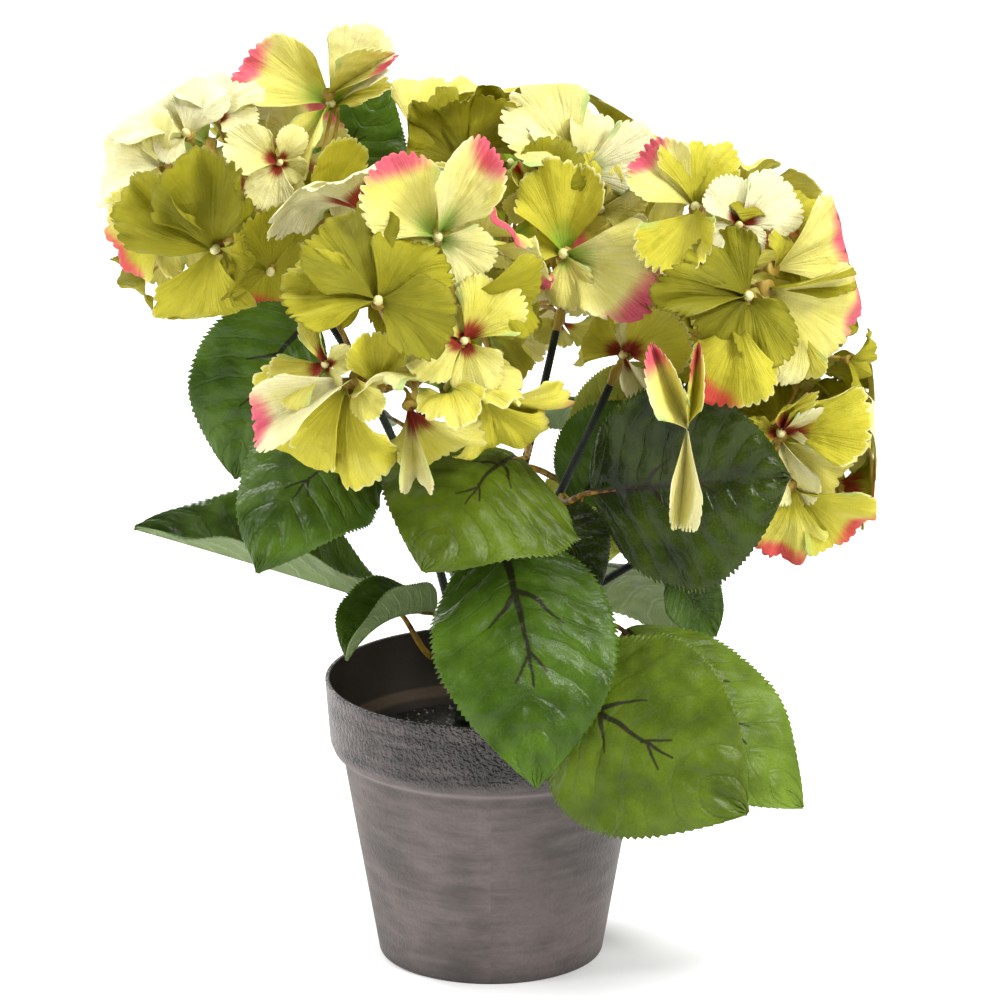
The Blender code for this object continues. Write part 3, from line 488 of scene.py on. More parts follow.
def turned_piece(name, profile, materials, slots):
    """A turned solid from a profile in (radius, height) that starts and ends on the axis, with a
    material number for each stretch of the profile."""
    profile = np.array(profile)
    turns = np.linspace(0, 2 * pi, POT_STEPS, endpoint=False)
    radii, heights = profile[1:-1, 0, None], profile[1:-1, 1, None]
    rings = np.stack([radii * np.sin(turns), -radii * np.cos(turns), heights + 0 * turns], axis=-1)
    number = np.arange(radii.size * POT_STEPS).reshape(-1, POT_STEPS)
    top, bottom = number.size, number.size + 1
    faces = ring_faces(number) + fan(top, number[0]) + fan(bottom, number[-1], down=True)
    points = np.concatenate([rings.reshape(-1, 3), [(0, 0, profile[0, 1]), (0, 0, profile[-1, 1])]])
    numbers = [*np.repeat(slots[1:-1], POT_STEPS), *[slots[0]] * POT_STEPS, *[slots[-1]] * POT_STEPS]
    return mesh_piece(name, points, faces, materials, slots=numbers)


# Node trees


class Socket:
    """An output of a node; sums and products of outputs add Math nodes to the tree."""

    def __init__(self, maker, output):
        self.maker = maker
        self.output = output

    def math(self, operation, *others):
        return self.maker.node("ShaderNodeMath", {"operation": operation}, dict(enumerate((self, *others))))

    def __add__(self, other):
        return self.math("ADD", other)

    def __sub__(self, other):
        return self.math("SUBTRACT", other)

    def __mul__(self, other):
        return self.math("MULTIPLY", other)

    def __truediv__(self, other):
        return self.math("DIVIDE", other)

    def __rsub__(self, other):
        return self.maker.node("ShaderNodeMath", {"operation": "SUBTRACT"}, {0: other, 1: self})

    __radd__ = __add__
    __rmul__ = __mul__


class Maker:
    """Adds nodes to one tree."""

    def __init__(self, tree):
        self.tree = tree

    def node(self, kind, settings=None, inputs=None, output=0):
        """One node: its settings, then the values or links of its inputs. Returns one of its outputs, if
        it has any."""
        made = self.tree.nodes.new(kind)
        for name, value in (settings or {}).items():
            if name == "stops":
                self.set_stops(made.color_ramp, value)
            else:
                setattr(made, name, value)
        for name, value in (inputs or {}).items():
            if isinstance(value, Socket):
                self.tree.links.new(value.output, made.inputs[name])
            else:
                made.inputs[name].default_value = value
        return Socket(self, made.outputs[output]) if made.outputs else None

    @staticmethod
    def set_stops(ramp, stops):
        while len(ramp.elements) < len(stops):
            ramp.elements.new(1)
        for element, (place, colour) in zip(ramp.elements, stops):
            element.position = place
            element.color = (*colour, 1)

    def noise(self, vector, scale, detail=2, roughness=0.5):
        sizes = {"Vector": vector, "Scale": scale, "Detail": detail, "Roughness": roughness}
        return self.node("ShaderNodeTexNoise", {}, sizes)

    def step(self, value, low, high):
        """0 where value is at low or beyond it, 1 at high or beyond it, smooth between."""
        ends = {"Value": value, "From Min": low, "From Max": high}
        return self.node("ShaderNodeMapRange", {"interpolation_type": "SMOOTHSTEP"}, ends)

    def mix(self, share, first, second, blend="MIX"):
        """Two colours mixed."""
        settings = {"data_type": "RGBA", "blend_type": blend}
        return self.node("ShaderNodeMix", settings, {0: share, 6: rgba(first), 7: rgba(second)}, 2)

    def shade(self, colour, value):
        """A colour made lighter or darker by a number around 1."""
        even = self.node("ShaderNodeCombineColor", {}, {0: value, 1: value, 2: value})
        return self.mix(1.0, colour, even, "MULTIPLY")

    def parts(self, vector):
        """The three numbers of a vector."""
        made = self.node("ShaderNodeSeparateXYZ", {}, {0: vector}).output.node
        return [Socket(self, output) for output in made.outputs]

    def vector(self, x, y, z=0.0):
        return self.node("ShaderNodeCombineXYZ", {}, {0: x, 1: y, 2: z})

    def stretched(self, vector, scales):
        return self.node("ShaderNodeVectorMath", {"operation": "MULTIPLY"}, {0: vector, 1: scales})

    def relief(self, height, distance, strength):
        inputs = {"Height": height, "Distance": distance, "Strength": strength}
        return self.node("ShaderNodeBump", {}, inputs)

    def place(self):
        """The point of the object that is shaded."""
        return self.node("ShaderNodeTexCoord", {}, None, 3)


def rgba(colour):
    return colour if isinstance(colour, Socket) else (*colour, 1)


def hexed(code):
    """A colour from its six hex digits, as the linear values that shaders take."""
    parts = [int(code[i:i + 2], 16) / 255 for i in (0, 2, 4)]
    return tuple(c / 12.92 if c <= 0.04045 else ((c + 0.055) / 1.055) ** 2.4 for c in parts)


def new_material(name):
    """A material with its Maker and a function that sets the inputs of its Principled shader."""
    material = bpy.data.materials.new(name)
    material.use_nodes = True
    tree = material.node_tree
    maker = Maker(tree)
    shader = tree.nodes["Principled BSDF"]

    def finish(**inputs):
        for key, value in inputs.items():
            socket = shader.inputs[key.replace("_", " ")]
            if isinstance(value, Socket):
                tree.links.new(value.output, socket)
            else:
                socket.default_value = value

    return material, maker, finish


def pass_light(material, maker, share, colour):
    """Lets a share of the light through the cloth, in one colour."""
    tree = material.node_tree
    cloth = Socket(maker, tree.nodes["Principled BSDF"].outputs["BSDF"])
    through_cloth = maker.node("ShaderNodeBsdfTranslucent", {}, {"Color": rgba(colour)})
    mixed = maker.node("ShaderNodeMixShader", {}, {0: share, 1: cloth, 2: through_cloth})
    tree.links.new(mixed.output, tree.nodes["Material Output"].inputs["Surface"])


# Materials of the blossom


CREAM = hexed("EFEABC")
PALE = hexed("E8E07E")
LIME = hexed("CFC63E")
MOSS = hexed("A9A224")
OLIVE = hexed("84801A")
PINK = hexed("D85C70")
# Pink of a tip as it looks in shade: painted shade
SHADED_PINK = hexed("CC4A3C")
HEART_RED = hexed("94301E")
THROAT_GREEN = hexed("86B23A")
EDGE_GREEN = hexed("A4D086")
EDGE_PALE = hexed("F4F2BE")
EDGE_DARK = hexed("6A6320")
THROUGH_YELLOW = hexed("CCC830")
# Sizes of the cloth's patterns, in metres
PETAL_CLOUD = 1 / 42
PETAL_WEAVE = 1 / 1700
PETAL_CRINKLE = 1 / 170


def petal_material():
    """Dyed cloth: a tone for each petal, partly dye and partly painted light and shade, sprayed tips and
    hearts, pressed pleats and a fine weave. The map "petal" runs across a petal in x, from -1 to 1, and
    from its claw to its margin in y."""
    material, maker, finish = new_material("petal cloth")
    across, along, _ = maker.parts(maker.node("ShaderNodeUVMap", {"uv_map": "petal"}))
    dye = maker.node("ShaderNodeAttribute", {"attribute_name": "dye"}, None, 1)
    heart = maker.node("ShaderNodeAttribute", {"attribute_name": "heart"}, None, 1)
    tone, tip, tip_place = maker.parts(dye)
    red, green, chance = maker.parts(heart)
    place = maker.place()
    fan = maker.vector(across * 7.0, along * 1.1, chance * 30.0)
    streaks = maker.noise(fan, 2.2, 1)
    clouds = maker.noise(place, 1 / PETAL_CLOUD, 1)
    weave = maker.noise(place, 1 / PETAL_WEAVE, 0)

    # Cream to olive: partly the cloth's dye, partly painted light at the cream end and painted shade at the
    # olive end
    stops = [(0.0, CREAM), (0.28, PALE), (0.5, LIME), (0.75, MOSS), (1.0, OLIVE)]
    depth = tone + (clouds - 0.5) * 0.44 + (streaks - 0.5) * 0.16 - along * 0.08 + 0.04
    colour = maker.node("ShaderNodeValToRGB", {"stops": stops}, {0: depth})
    rim = maker.step(along, 0.955, 1.0)
    rim_tone = maker.mix(maker.step(tone, 0.62, 0.8), EDGE_PALE, EDGE_DARK)
    colour = maker.mix(rim * 0.55, colour, rim_tone)
    side = maker.step(across.math("ABSOLUTE") + (streaks - 0.5) * 0.3, 0.8, 1.05)
    chosen = maker.step(chance, 0.6, 0.7) * maker.step(tone, 0.7, 0.5)
    green_edge = side * chosen * maker.step(along, 0.55, 0.8)
    colour = maker.mix(green_edge * 0.7, colour, EDGE_GREEN)

    throat = maker.step(along + (streaks - 0.5) * 0.22, 0.44, 0.1)
    colour = maker.mix(throat * green * 0.85, colour, THROAT_GREEN)
    blot = maker.step(along + (streaks - 0.5) * 0.18, 0.4, 0.2)
    colour = maker.mix(blot * red, colour, HEART_RED)

    sideways = (across - tip_place) / 0.52
    inward = (1.0 - along) / 0.28
    spread = sideways * sideways + inward * inward + (streaks - 0.5) * 0.5 + (clouds - 0.5) * 0.4
    sprayed = maker.step(spread, 1.3, 0.25) * tip
    # Pink tips on darker petals take the coral red of pink in shade: painted shade
    tip_colour = maker.mix(maker.step(tone, 0.25, 0.55), PINK, SHADED_PINK)
    colour = maker.mix(sprayed, colour, tip_colour)
    rays = maker.vector(across * 22.0, along * 1.8, chance * 30.0)
    lines = maker.noise(rays, 2.0, 0)
    veins = maker.step(lines, 0.45, 0.3) * maker.step(along, 0.1, 0.35)
    crinkles = maker.noise(place, 1 / PETAL_CRINKLE, 1)
    colour = maker.shade(colour, 0.94 + weave * 0.16 - veins * 0.1)

    pleats = streaks * 0.3 + lines * 0.18 + crinkles * 0.8 + weave * 0.1
    finish(Base_Color=colour, Roughness=0.5 + weave * 0.2, Normal=maker.relief(pleats, 0.0024, 0.75),
           Specular_IOR_Level=0.2)
    pass_light(material, maker, 0.24 - sprayed * 0.08 - blot * red * 0.12, THROUGH_YELLOW)
    return material


def bead_material():
    """Pearly cream bead at a floret's heart."""
    material, maker, finish = new_material("bead")
    place = maker.place()
    clouds = maker.noise(place, 160.0, 2)
    colour = maker.mix(clouds, hexed("E9E2B0"), hexed("CFC872"))
    finish(Base_Color=colour, Roughness=0.3 + clouds * 0.2, Normal=maker.relief(clouds, 0.0004, 0.4))
    return material


def twig_material(name, first, second, roughness):
    """Moulded plastic, mottled lengthwise."""
    material, maker, finish = new_material(name)
    place = maker.place()
    streaks = maker.noise(maker.stretched(place, (1.0, 1.0, 0.25)), 260.0, 3)
    grain = maker.noise(place, 2200.0, 2)
    colour = maker.mix(maker.step(streaks, 0.35, 0.65), first, second)
    finish(Base_Color=maker.shade(colour, 0.9 + grain * 0.2), Roughness=roughness + grain * 0.2,
           Normal=maker.relief(streaks * 0.7 + grain * 0.3, 0.0003, 0.5), Specular_IOR_Level=0.25)
    return material


# Materials of the leaves


LEAF_TONES = {
    "dark": (hexed("131E02"), hexed("36450A"), 0.2),
    "mid": (hexed("2A4008"), hexed("4A6616"), 0.26),
    "bright": (hexed("3A4A08"), hexed("576A14"), 0.3),
    "fresh": (hexed("46590E"), hexed("667E20"), 0.34),
    "pale": (hexed("8C9632"), hexed("BCC05A"), 0.42),
}
VEIN_BROWN = hexed("1E1B10")
PALE_LEAF_VEINS = (hexed("7A6A2A"), hexed("8A6A2C"))
UNDERSIDE = hexed("87956A")
# Sizes of a leaf's patterns, in metres
LEAF_CLOUD = 1 / 55
LEAF_SPECK = 1 / 1300
LEAF_WANDER = 1 / 120
LEAF_DENT = 1 / 150
# Printed branches: start and end along and across, in leaf lengths, then half widths there
PRINTED_BRANCHES = (
    ((-0.02, 0.0), (0.3, 0.0), 0.013, 0.008),
    ((0.3, 0.0), (0.66, 0.01), 0.008, 0.002),
    ((0.27, 0.0), (0.34, 0.08), 0.008, 0.0045),
    ((0.34, 0.08), (0.44, 0.15), 0.0045, 0.001),
    ((0.29, 0.0), (0.35, -0.06), 0.008, 0.0045),
    ((0.35, -0.06), (0.41, -0.13), 0.0045, 0.001),
    ((0.52, 0.0), (0.62, 0.07), 0.004, 0.001),
    ((0.55, 0.0), (0.64, -0.06), 0.004, 0.001),
)


def printed_line(maker, along, across, branch):
    """1 on one printed branch of a leaf, fading at its sides."""
    (x0, y0), (x1, y1), wide, narrow = branch
    dx, dy = x1 - x0, y1 - y0
    length = sqrt(dx * dx + dy * dy)
    share = ((along - x0) * (dx / length**2) + (across - y0) * (dy / length**2)).math("MINIMUM", 1.0)
    share = share.math("MAXIMUM", 0.0)
    off_x, off_y = along - x0 - share * dx, across - y0 - share * dy
    off = (off_x * off_x + off_y * off_y).math("SQRT")
    half = wide - share * (wide - narrow)
    return maker.step(off - half * 1.3, 0.007, -0.002)


def leaf_material(tone, under):
    """Coated cloth: mottled green, printed brown veins, pressed side veins, and a speckled gloss.
    The map "leaf" runs from root to tip in x and across in y, both in leaf lengths; the map "veins"
    holds the share across in x and the side veins' count in y."""
    dark, light, gloss = LEAF_TONES[tone]
    material, maker, finish = new_material(f"leaf {tone}{' underside' if under else ''}")
    along, across, _ = maker.parts(maker.node("ShaderNodeUVMap", {"uv_map": "leaf"}))
    reach, count, _ = maker.parts(maker.node("ShaderNodeUVMap", {"uv_map": "veins"}))
    place = maker.place()
    clouds = maker.noise(place, 1 / LEAF_CLOUD, 2, 0.6)
    specks = maker.noise(place, 1 / LEAF_SPECK, 0)
    wander = maker.noise(place, 1 / LEAF_WANDER, 0) - 0.5
    comb = maker.vector(reach * 2.6, count * 1.4 + wander, 0.0)
    creases = maker.noise(comb, 1.8, 1)

    phase = (count + wander * 0.22).math("FRACT")
    to_vein = phase.math("MINIMUM", 1.0 - phase)
    side_vein = maker.step(to_vein, 0.1, 0.0) * maker.step(reach.math("ABSOLUTE"), 1.0, 0.6)
    colour = maker.mix(maker.step(clouds, 0.2, 0.8), dark, light)
    vein_dark, ink = PALE_LEAF_VEINS if tone == "pale" else (dark, VEIN_BROWN)
    colour = maker.mix(side_vein * (0.0 if under else 0.07), colour, vein_dark)
    edge = maker.step(reach.math("ABSOLUTE"), 0.93, 1.0)
    colour = maker.mix(edge * 0.3, colour, light)
    if under:
        colour = maker.mix(0.5 + side_vein * 0.3, colour, UNDERSIDE)
    else:
        printed = None
        for branch in PRINTED_BRANCHES:
            line = printed_line(maker, along, across + wander * 0.02, branch)
            printed = line if printed is None else printed.math("MAXIMUM", line)
        colour = maker.mix(printed * 0.92, colour, ink)
    colour = maker.shade(colour, 0.86 + specks * 0.28)
    rough = gloss + (0.25 if under else 0.0) + maker.step(specks, 0.5, 0.7) * 0.18 + clouds * 0.12
    dents = maker.noise(place, 1 / LEAF_DENT, 0)
    height = creases * 0.6 + dents * 0.8 + specks * 0.06 - side_vein * 0.2
    finish(Base_Color=colour, Roughness=rough, Normal=maker.relief(height, 0.0022, 0.55),
           Specular_IOR_Level=0.12 if under else 0.2)
    return material


# Materials of the pot


POT_DARK = hexed("413936")
POT_LIGHT = hexed("625754")
SHOULDER_HIGHLIGHT = hexed("857B78")
POT_FOOT_SHADE = hexed("35302E")
LIP_HIGHLIGHT = hexed("A79E9A")
COLLAR_DARK = hexed("1E1A18")
# Sizes of the pot's patterns
POT_BLOTCH = 1 / 26
POT_STREAK = 1 / 200
POT_GRAIN = 1 / 620
POT_FINE = 1 / 1500
LOW_SHADE = 0.9 * CM
# A painted highlight in a band on the shoulder just under the collar
SHOULDER_SHINE_Z = COLLAR_FOOT_Z - 0.45 * CM
SHOULDER_SHINE = (0.22 * CM, 0.04 * CM)  # half heights where it ends and where it is full
# Where the painted highlight on the lip starts, and where it is full
LIP_HIGHLIGHT_FADE = 0.14 * CM
LIP_HIGHLIGHT_FULL = 0.03 * CM
COLLAR_BLEND = 0.2 * CM
LEDGE_BAND_Z = LEDGE_TOP_Z - 0.12 * CM
LEDGE_BAND = (0.24 * CM, 0.1 * CM)


def pot_material():
    """Matte plastic with a leathery grain, under a worn charcoal wash with level streaks, with painted
    highlights in a band under the collar and on the lip, and painted shade towards the foot.
    """
    material, maker, finish = new_material("pot plastic")
    place = maker.place()
    x, y, z = maker.parts(place)
    turn = maker.node("ShaderNodeMath", {"operation": "ARCTAN2"}, {0: x, 1: y})
    blotches = maker.noise(place, 1 / POT_BLOTCH, 3, 0.62)
    streaks = maker.noise(maker.vector(turn * 2.0, z / POT_STREAK), 1.0, 2, 0.6)
    grain = maker.noise(place, 1 / POT_GRAIN, 1, 0.6)
    fine = maker.noise(place, 1 / POT_FINE, 0)
    wash = maker.step(blotches * 0.6 + streaks * 0.4, 0.36, 0.62)
    colour = maker.mix(wash, POT_DARK, POT_LIGHT)
    # Painted shade: the pot darker towards its foot
    low = maker.step(z, LOW_SHADE, 0.0)
    # Painted highlight: a lighter band on the shoulder just under the collar
    off_shoulder = (z - SHOULDER_SHINE_Z).math("ABSOLUTE")
    painted_shoulder_shine = maker.step(off_shoulder, *SHOULDER_SHINE)
    colour = maker.mix(painted_shoulder_shine * 0.45, colour, SHOULDER_HIGHLIGHT)
    colour = maker.mix(low * 0.5, colour, POT_FOOT_SHADE)
    # Painted highlight: the top of the lip made paler, where light falls along the collar's top
    lip = maker.step(z, POT_HEIGHT - LIP_HIGHLIGHT_FADE, POT_HEIGHT - LIP_HIGHLIGHT_FULL)
    colour = maker.mix(lip * 0.5, colour, LIP_HIGHLIGHT)
    collar = maker.step(z, COLLAR_FOOT_Z - COLLAR_BLEND, COLLAR_FOOT_Z + COLLAR_BLEND)
    colour = maker.mix(collar * (1.0 - wash) * 0.9 + collar * 0.2, colour, COLLAR_DARK)
    creases = maker.step(grain, 0.3, 0.7)
    height = creases * (0.18 + collar * 0.9) + fine * 0.15
    colour = maker.shade(colour, 0.88 + creases * 0.12 + fine * 0.08)
    gloss = 0.46 + blotches * 0.16 - collar * 0.22 - lip * 0.06
    finish(Base_Color=colour, Roughness=gloss, Normal=maker.relief(height, 0.001, 0.8))
    return material


def pot_inside_material():
    """The same plastic, darkened as painted shade inside the pot, with a pale brown band on its ledge."""
    material, maker, finish = new_material("pot inside")
    place = maker.place()
    z = maker.parts(place)[2]
    clouds = maker.noise(place, 60.0, 4, 0.6)
    fine = maker.noise(place, 1300.0, 2)
    band = maker.step((z - LEDGE_BAND_Z).math("ABSOLUTE"), *LEDGE_BAND)
    # Darker than the outside: painted shade inside the pot
    colour = maker.mix(clouds, hexed("2B2523"), hexed("453C39"))
    colour = maker.mix(band * 0.7, colour, hexed("7A6455"))
    finish(Base_Color=maker.shade(colour, 0.9 + fine * 0.2), Roughness=0.6 + clouds * 0.2,
           Normal=maker.relief(fine, 0.0005, 0.5))
    return material


def filler_material():
    """Rough cast mass, near black."""
    material, maker, finish = new_material("filler")
    place = maker.place()
    lumps = maker.noise(place, 240.0, 5, 0.7)
    colour = maker.mix(maker.step(lumps, 0.4, 0.7), hexed("161312"), hexed("3A3431"))
    finish(Base_Color=colour, Roughness=0.85 - lumps * 0.1, Normal=maker.relief(lumps, 0.002, 0.8))
    return material


def grit_material():
    material, maker, finish = new_material("grit")
    place = maker.place()
    tint = maker.noise(place, 500.0, 2)
    colour = maker.mix(maker.step(tint, 0.35, 0.65), hexed("2A2523"), hexed("B5AFA6"))
    finish(Base_Color=colour, Roughness=0.7 + tint * 0.1)
    return material


# Geometry Nodes


def nodes_group(name, inputs):
    """An empty Geometry Nodes tree with named inputs, and its Maker and input sockets."""
    tree = bpy.data.node_groups.new(name, "GeometryNodeTree")
    tree.interface.new_socket("Geometry", in_out="INPUT", socket_type="NodeSocketGeometry")
    for label, kind in inputs.items():
        tree.interface.new_socket(label, in_out="INPUT", socket_type=kind)
    tree.interface.new_socket("Geometry", in_out="OUTPUT", socket_type="NodeSocketGeometry")
    maker = Maker(tree)
    entry = maker.node("NodeGroupInput").output.node
    return tree, maker, {socket.name: Socket(maker, socket) for socket in entry.outputs if socket.name}


def close_group(maker, shape, material):
    """Ends a tree with real geometry in one material."""
    real = maker.node("GeometryNodeRealizeInstances", {}, {0: shape})
    dressed = maker.node("GeometryNodeSetMaterial", {}, {"Geometry": real, "Material": material})
    maker.node("NodeGroupOutput", {}, {0: dressed})


def tube_group():
    """Tubes along the edges of a mesh, as thick as its points' radius."""
    kinds = {"Sides": "NodeSocketInt", "Material": "NodeSocketMaterial"}
    tree, maker, entry = nodes_group("tubes", kinds)
    radius = maker.node("GeometryNodeInputNamedAttribute", {"data_type": "FLOAT"}, {"Name": "radius"})
    curve = maker.node("GeometryNodeMeshToCurve", {}, {0: entry["Geometry"]})
    inputs = {"Resolution": entry["Sides"], "Radius": 1.0}
    circle = maker.node("GeometryNodeCurvePrimitiveCircle", {}, inputs)
    inputs = {"Curve": curve, "Profile Curve": circle, "Fill Caps": True, "Scale": radius}
    tube = maker.node("GeometryNodeCurveToMesh", {}, inputs)
    close_group(maker, tube, entry["Material"])
    return tree


def scatter_group():
    """Small stones scattered over upward faces."""
    kinds = {"Count": "NodeSocketFloat", "Size": "NodeSocketFloat", "Seed": "NodeSocketInt",
             "Material": "NodeSocketMaterial"}
    tree, maker, entry = nodes_group("grit", kinds)
    inputs = {"Mesh": entry["Geometry"], "Density": entry["Count"], "Seed": entry["Seed"]}
    points = maker.node("GeometryNodeDistributePointsOnFaces", {}, inputs)
    stone = maker.node("GeometryNodeMeshIcoSphere", {}, {"Radius": entry["Size"], "Subdivisions": 1})
    smallest, largest = GRIT_UNEVEN
    size = maker.node("FunctionNodeRandomValue", {"data_type": "FLOAT"},
                      {2: smallest, 3: largest, "Seed": entry["Seed"]}, 1)
    turn = maker.node("FunctionNodeRandomValue", {"data_type": "FLOAT_VECTOR"},
                      {0: (-GRIT_TURN,) * 3, 1: (GRIT_TURN,) * 3, "Seed": entry["Seed"]})
    placed = maker.node("GeometryNodeInstanceOnPoints", {},
                        {"Points": points, "Instance": stone, "Rotation": turn, "Scale": size})
    close_group(maker, placed, entry["Material"])
    return tree


def heart_group():
    """One moulded form on each point, turned to face the point's facing and sized by its size."""
    kinds = {"Form": "NodeSocketObject", "Material": "NodeSocketMaterial"}
    tree, maker, entry = nodes_group("hearts", kinds)
    vector = {"data_type": "FLOAT_VECTOR"}
    facing = maker.node("GeometryNodeInputNamedAttribute", vector, {"Name": "facing"})
    size = maker.node("GeometryNodeInputNamedAttribute", {"data_type": "FLOAT"}, {"Name": "size"})
    form = maker.node("GeometryNodeObjectInfo", {}, {"Object": entry["Form"]}, 4)
    turn = maker.node("FunctionNodeAlignRotationToVector", {"axis": "Z"}, {"Vector": facing})
    placed = maker.node("GeometryNodeInstanceOnPoints", {},
                        {"Points": entry["Geometry"], "Instance": form, "Rotation": turn, "Scale": size})
    close_group(maker, placed, entry["Material"])
    return tree


def grown(name, carrier, tree, inputs):
    """The plain mesh that a Geometry Nodes tree makes on the carrier, which is then removed."""
    modifier = carrier.modifiers.new(name, "NODES")
    modifier.node_group = tree
    for item in tree.interface.items_tree:
        if item.in_out == "INPUT" and item.name in inputs:
            modifier[item.identifier] = inputs[item.name]
    carrier.update_tag()
    bpy.context.view_layer.update()
    mesh = bpy.data.meshes.new_from_object(carrier.evaluated_get(bpy.context.evaluated_depsgraph_get()))
    mesh.name = name
    mesh.polygons.foreach_set("use_smooth", [True] * len(mesh.polygons))
    bpy.data.objects.remove(carrier)
    made = bpy.data.objects.new(name, mesh)
    bpy.context.scene.collection.objects.link(made)
    return made


def tubes(name, lines, tree, sides, material):
    """Tubes along lines of points, each line with a radius for every point."""
    points, edges, radii = [], [], []
    for line, thick in lines:
        start = len(points)
        points += [tuple(p) for p in line]
        edges += [(start + i, start + i + 1) for i in range(len(line) - 1)]
        radii += list(thick)
    mesh = bpy.data.meshes.new(name)
    mesh.from_pydata(points, edges, [])
    carrier = bpy.data.objects.new(name + "_lines", mesh)
    bpy.context.scene.collection.objects.link(carrier)
    add_values(carrier, "radius", radii)
    return grown(name, carrier, tree, {"Sides": sides, "Material": material})


def belongs(piece, slot, *nodes):
    """Rides on the only body and stands for the solids; slot is not used."""
    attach(piece, "root")
    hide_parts(*nodes)


# Pot and filler


def make_pot():
    """The shell, from its inside bottom over the lip and down to its base."""
    inner_ledge = BODY_TOP_RADIUS - WALL
    profile = [(0, WALL), (BASE_RADIUS - WALL, WALL), (inner_ledge, BODY_TOP_Z)]
    profile += [(inner_ledge + LEDGE_LEAN, LEDGE_FOOT_Z), (COLLAR_FOOT_RADIUS - WALL, LEDGE_TOP_Z)]
    lip_z = POT_HEIGHT - LIP_ROUND
    profile += arc((RIM_RADIUS - WALL + LIP_ROUND, lip_z), LIP_ROUND, 180, 90)
    inside = len(profile) - 1
    profile += arc((RIM_RADIUS - LIP_ROUND, lip_z), LIP_ROUND, 90, 0)
    edge_out, edge_up = COLLAR_EDGE
    profile += [(COLLAR_FOOT_RADIUS + edge_out, COLLAR_FOOT_Z + edge_up)]
    profile += [(COLLAR_FOOT_RADIUS, COLLAR_FOOT_Z)]
    drop_in, drop = SHOULDER_STEP
    profile += [(COLLAR_FOOT_RADIUS - CORNER_CUT * drop_in, COLLAR_FOOT_Z - CORNER_CUT * drop)]
    profile += [(COLLAR_FOOT_RADIUS - drop_in, COLLAR_FOOT_Z - drop)]
    for share in np.linspace(0.25, 1, COVE_STEPS):
        depth = (1 - share) ** 2
        radius = BODY_TOP_RADIUS + (COLLAR_FOOT_RADIUS - drop_in - BODY_TOP_RADIUS) * depth
        profile.append((radius, COLLAR_FOOT_Z - drop + (BODY_TOP_Z - COLLAR_FOOT_Z + drop) * share))
    for share in np.linspace(0, 1, WALL_STEPS + 1)[1:]:
        profile.append((BODY_TOP_RADIUS + (BASE_RADIUS - BODY_TOP_RADIUS) * share,
                        BODY_TOP_Z + (BASE_CHAMFER - BODY_TOP_Z) * share))
    cut = CORNER_CUT * BASE_CHAMFER
    profile += [(BASE_RADIUS - cut, cut), (BASE_RADIUS - BASE_CHAMFER, 0), (0, 0)]
    slots = [1 if i < inside else 0 for i in range(len(profile) - 1)]
    pot = turned_piece("pot_shell", profile, [pot_material(), pot_inside_material()], slots)
    belongs(pot, "pot", "pot")


def make_filler():
    """A rough crowned top on the plain drum that fills the pot."""
    chance = np.random.default_rng(11)
    radius = BODY_TOP_RADIUS - WALL - GAP
    shares = np.linspace(0, 1, FILLER_RINGS + 1)[1:, None]
    turns = np.linspace(0, 2 * pi, FILLER_SPOKES, endpoint=False)
    rough = chance.normal(0, FILLER_ROUGH / 3, (FILLER_RINGS, FILLER_SPOKES))
    rough = (rough + np.roll(rough, 1, 0) + np.roll(rough, 1, 1) + np.roll(rough, -1, 1)) / 2
    heights = FILLER_TOP_Z + FILLER_CROWN * (1 - 2 * shares**3) + rough * (1 - shares**8)
    heights = np.minimum(heights, STALK[0][2] * CM - GAP)
    rings = np.stack([radius * shares * np.sin(turns), -radius * shares * np.cos(turns), heights], axis=-1)
    number = np.arange(FILLER_RINGS * FILLER_SPOKES).reshape(FILLER_RINGS, FILLER_SPOKES)
    top = number.size
    faces = ring_faces(number) + fan(top, number[0])
    foot_radius = BASE_RADIUS - WALL - GAP
    ends = ((radius, BODY_TOP_Z), (foot_radius, WALL + GAP))
    drum = [(r * sin(t), -r * cos(t), z) for r, z in ends for t in turns]
    drum_top = top + 1 + np.arange(FILLER_SPOKES)
    drum_foot = drum_top + FILLER_SPOKES
    bottom = top + 1 + 2 * FILLER_SPOKES
    faces += ring_faces(np.stack([number[-1], drum_top, drum_foot])) + fan(bottom, drum_foot, down=True)
    centre = (0, 0, FILLER_TOP_Z + FILLER_CROWN)
    points = np.concatenate([rings.reshape(-1, 3), [centre], drum, [(0, 0, WALL + GAP)]])
    filler = mesh_piece("filler_mass", points, faces, [filler_material()])
    belongs(filler, "filler", "filler")
    return rings


def make_grit(rings):
    """Pale stones strewn over the filler."""
    number = np.arange(rings.shape[0] * rings.shape[1]).reshape(rings.shape[:2])[:-1]
    carrier = mesh_piece("grit_bed", rings.reshape(-1, 3), ring_faces(number), [])
    area = pi * (BODY_TOP_RADIUS - WALL) ** 2
    inputs = {"Count": GRIT_COUNT / area, "Size": GRIT_SIZE, "Seed": 4, "Material": grit_material()}
    grit = grown("grit", carrier, scatter_group(), inputs)
    belongs(grit, "filler", "filler")


# Stalk, stems and leaves


def ringed_line(line, radii, pitch):
    """Points along a limb with a moulded ring at every pitch, and the radius at each point."""
    length = np.linalg.norm(line[1] - line[0]) + np.linalg.norm(line[2] - line[1])
    count = max(2, round(length / pitch)) * RING_SAMPLES
    shares = np.linspace(0, 1, count + 1)
    wave = np.where(np.arange(count + 1) % RING_SAMPLES == 0, 0, -RING_RISE)
    return through(line, shares), (radii[0] + (radii[1] - radii[0]) * shares) * (1 + wave)


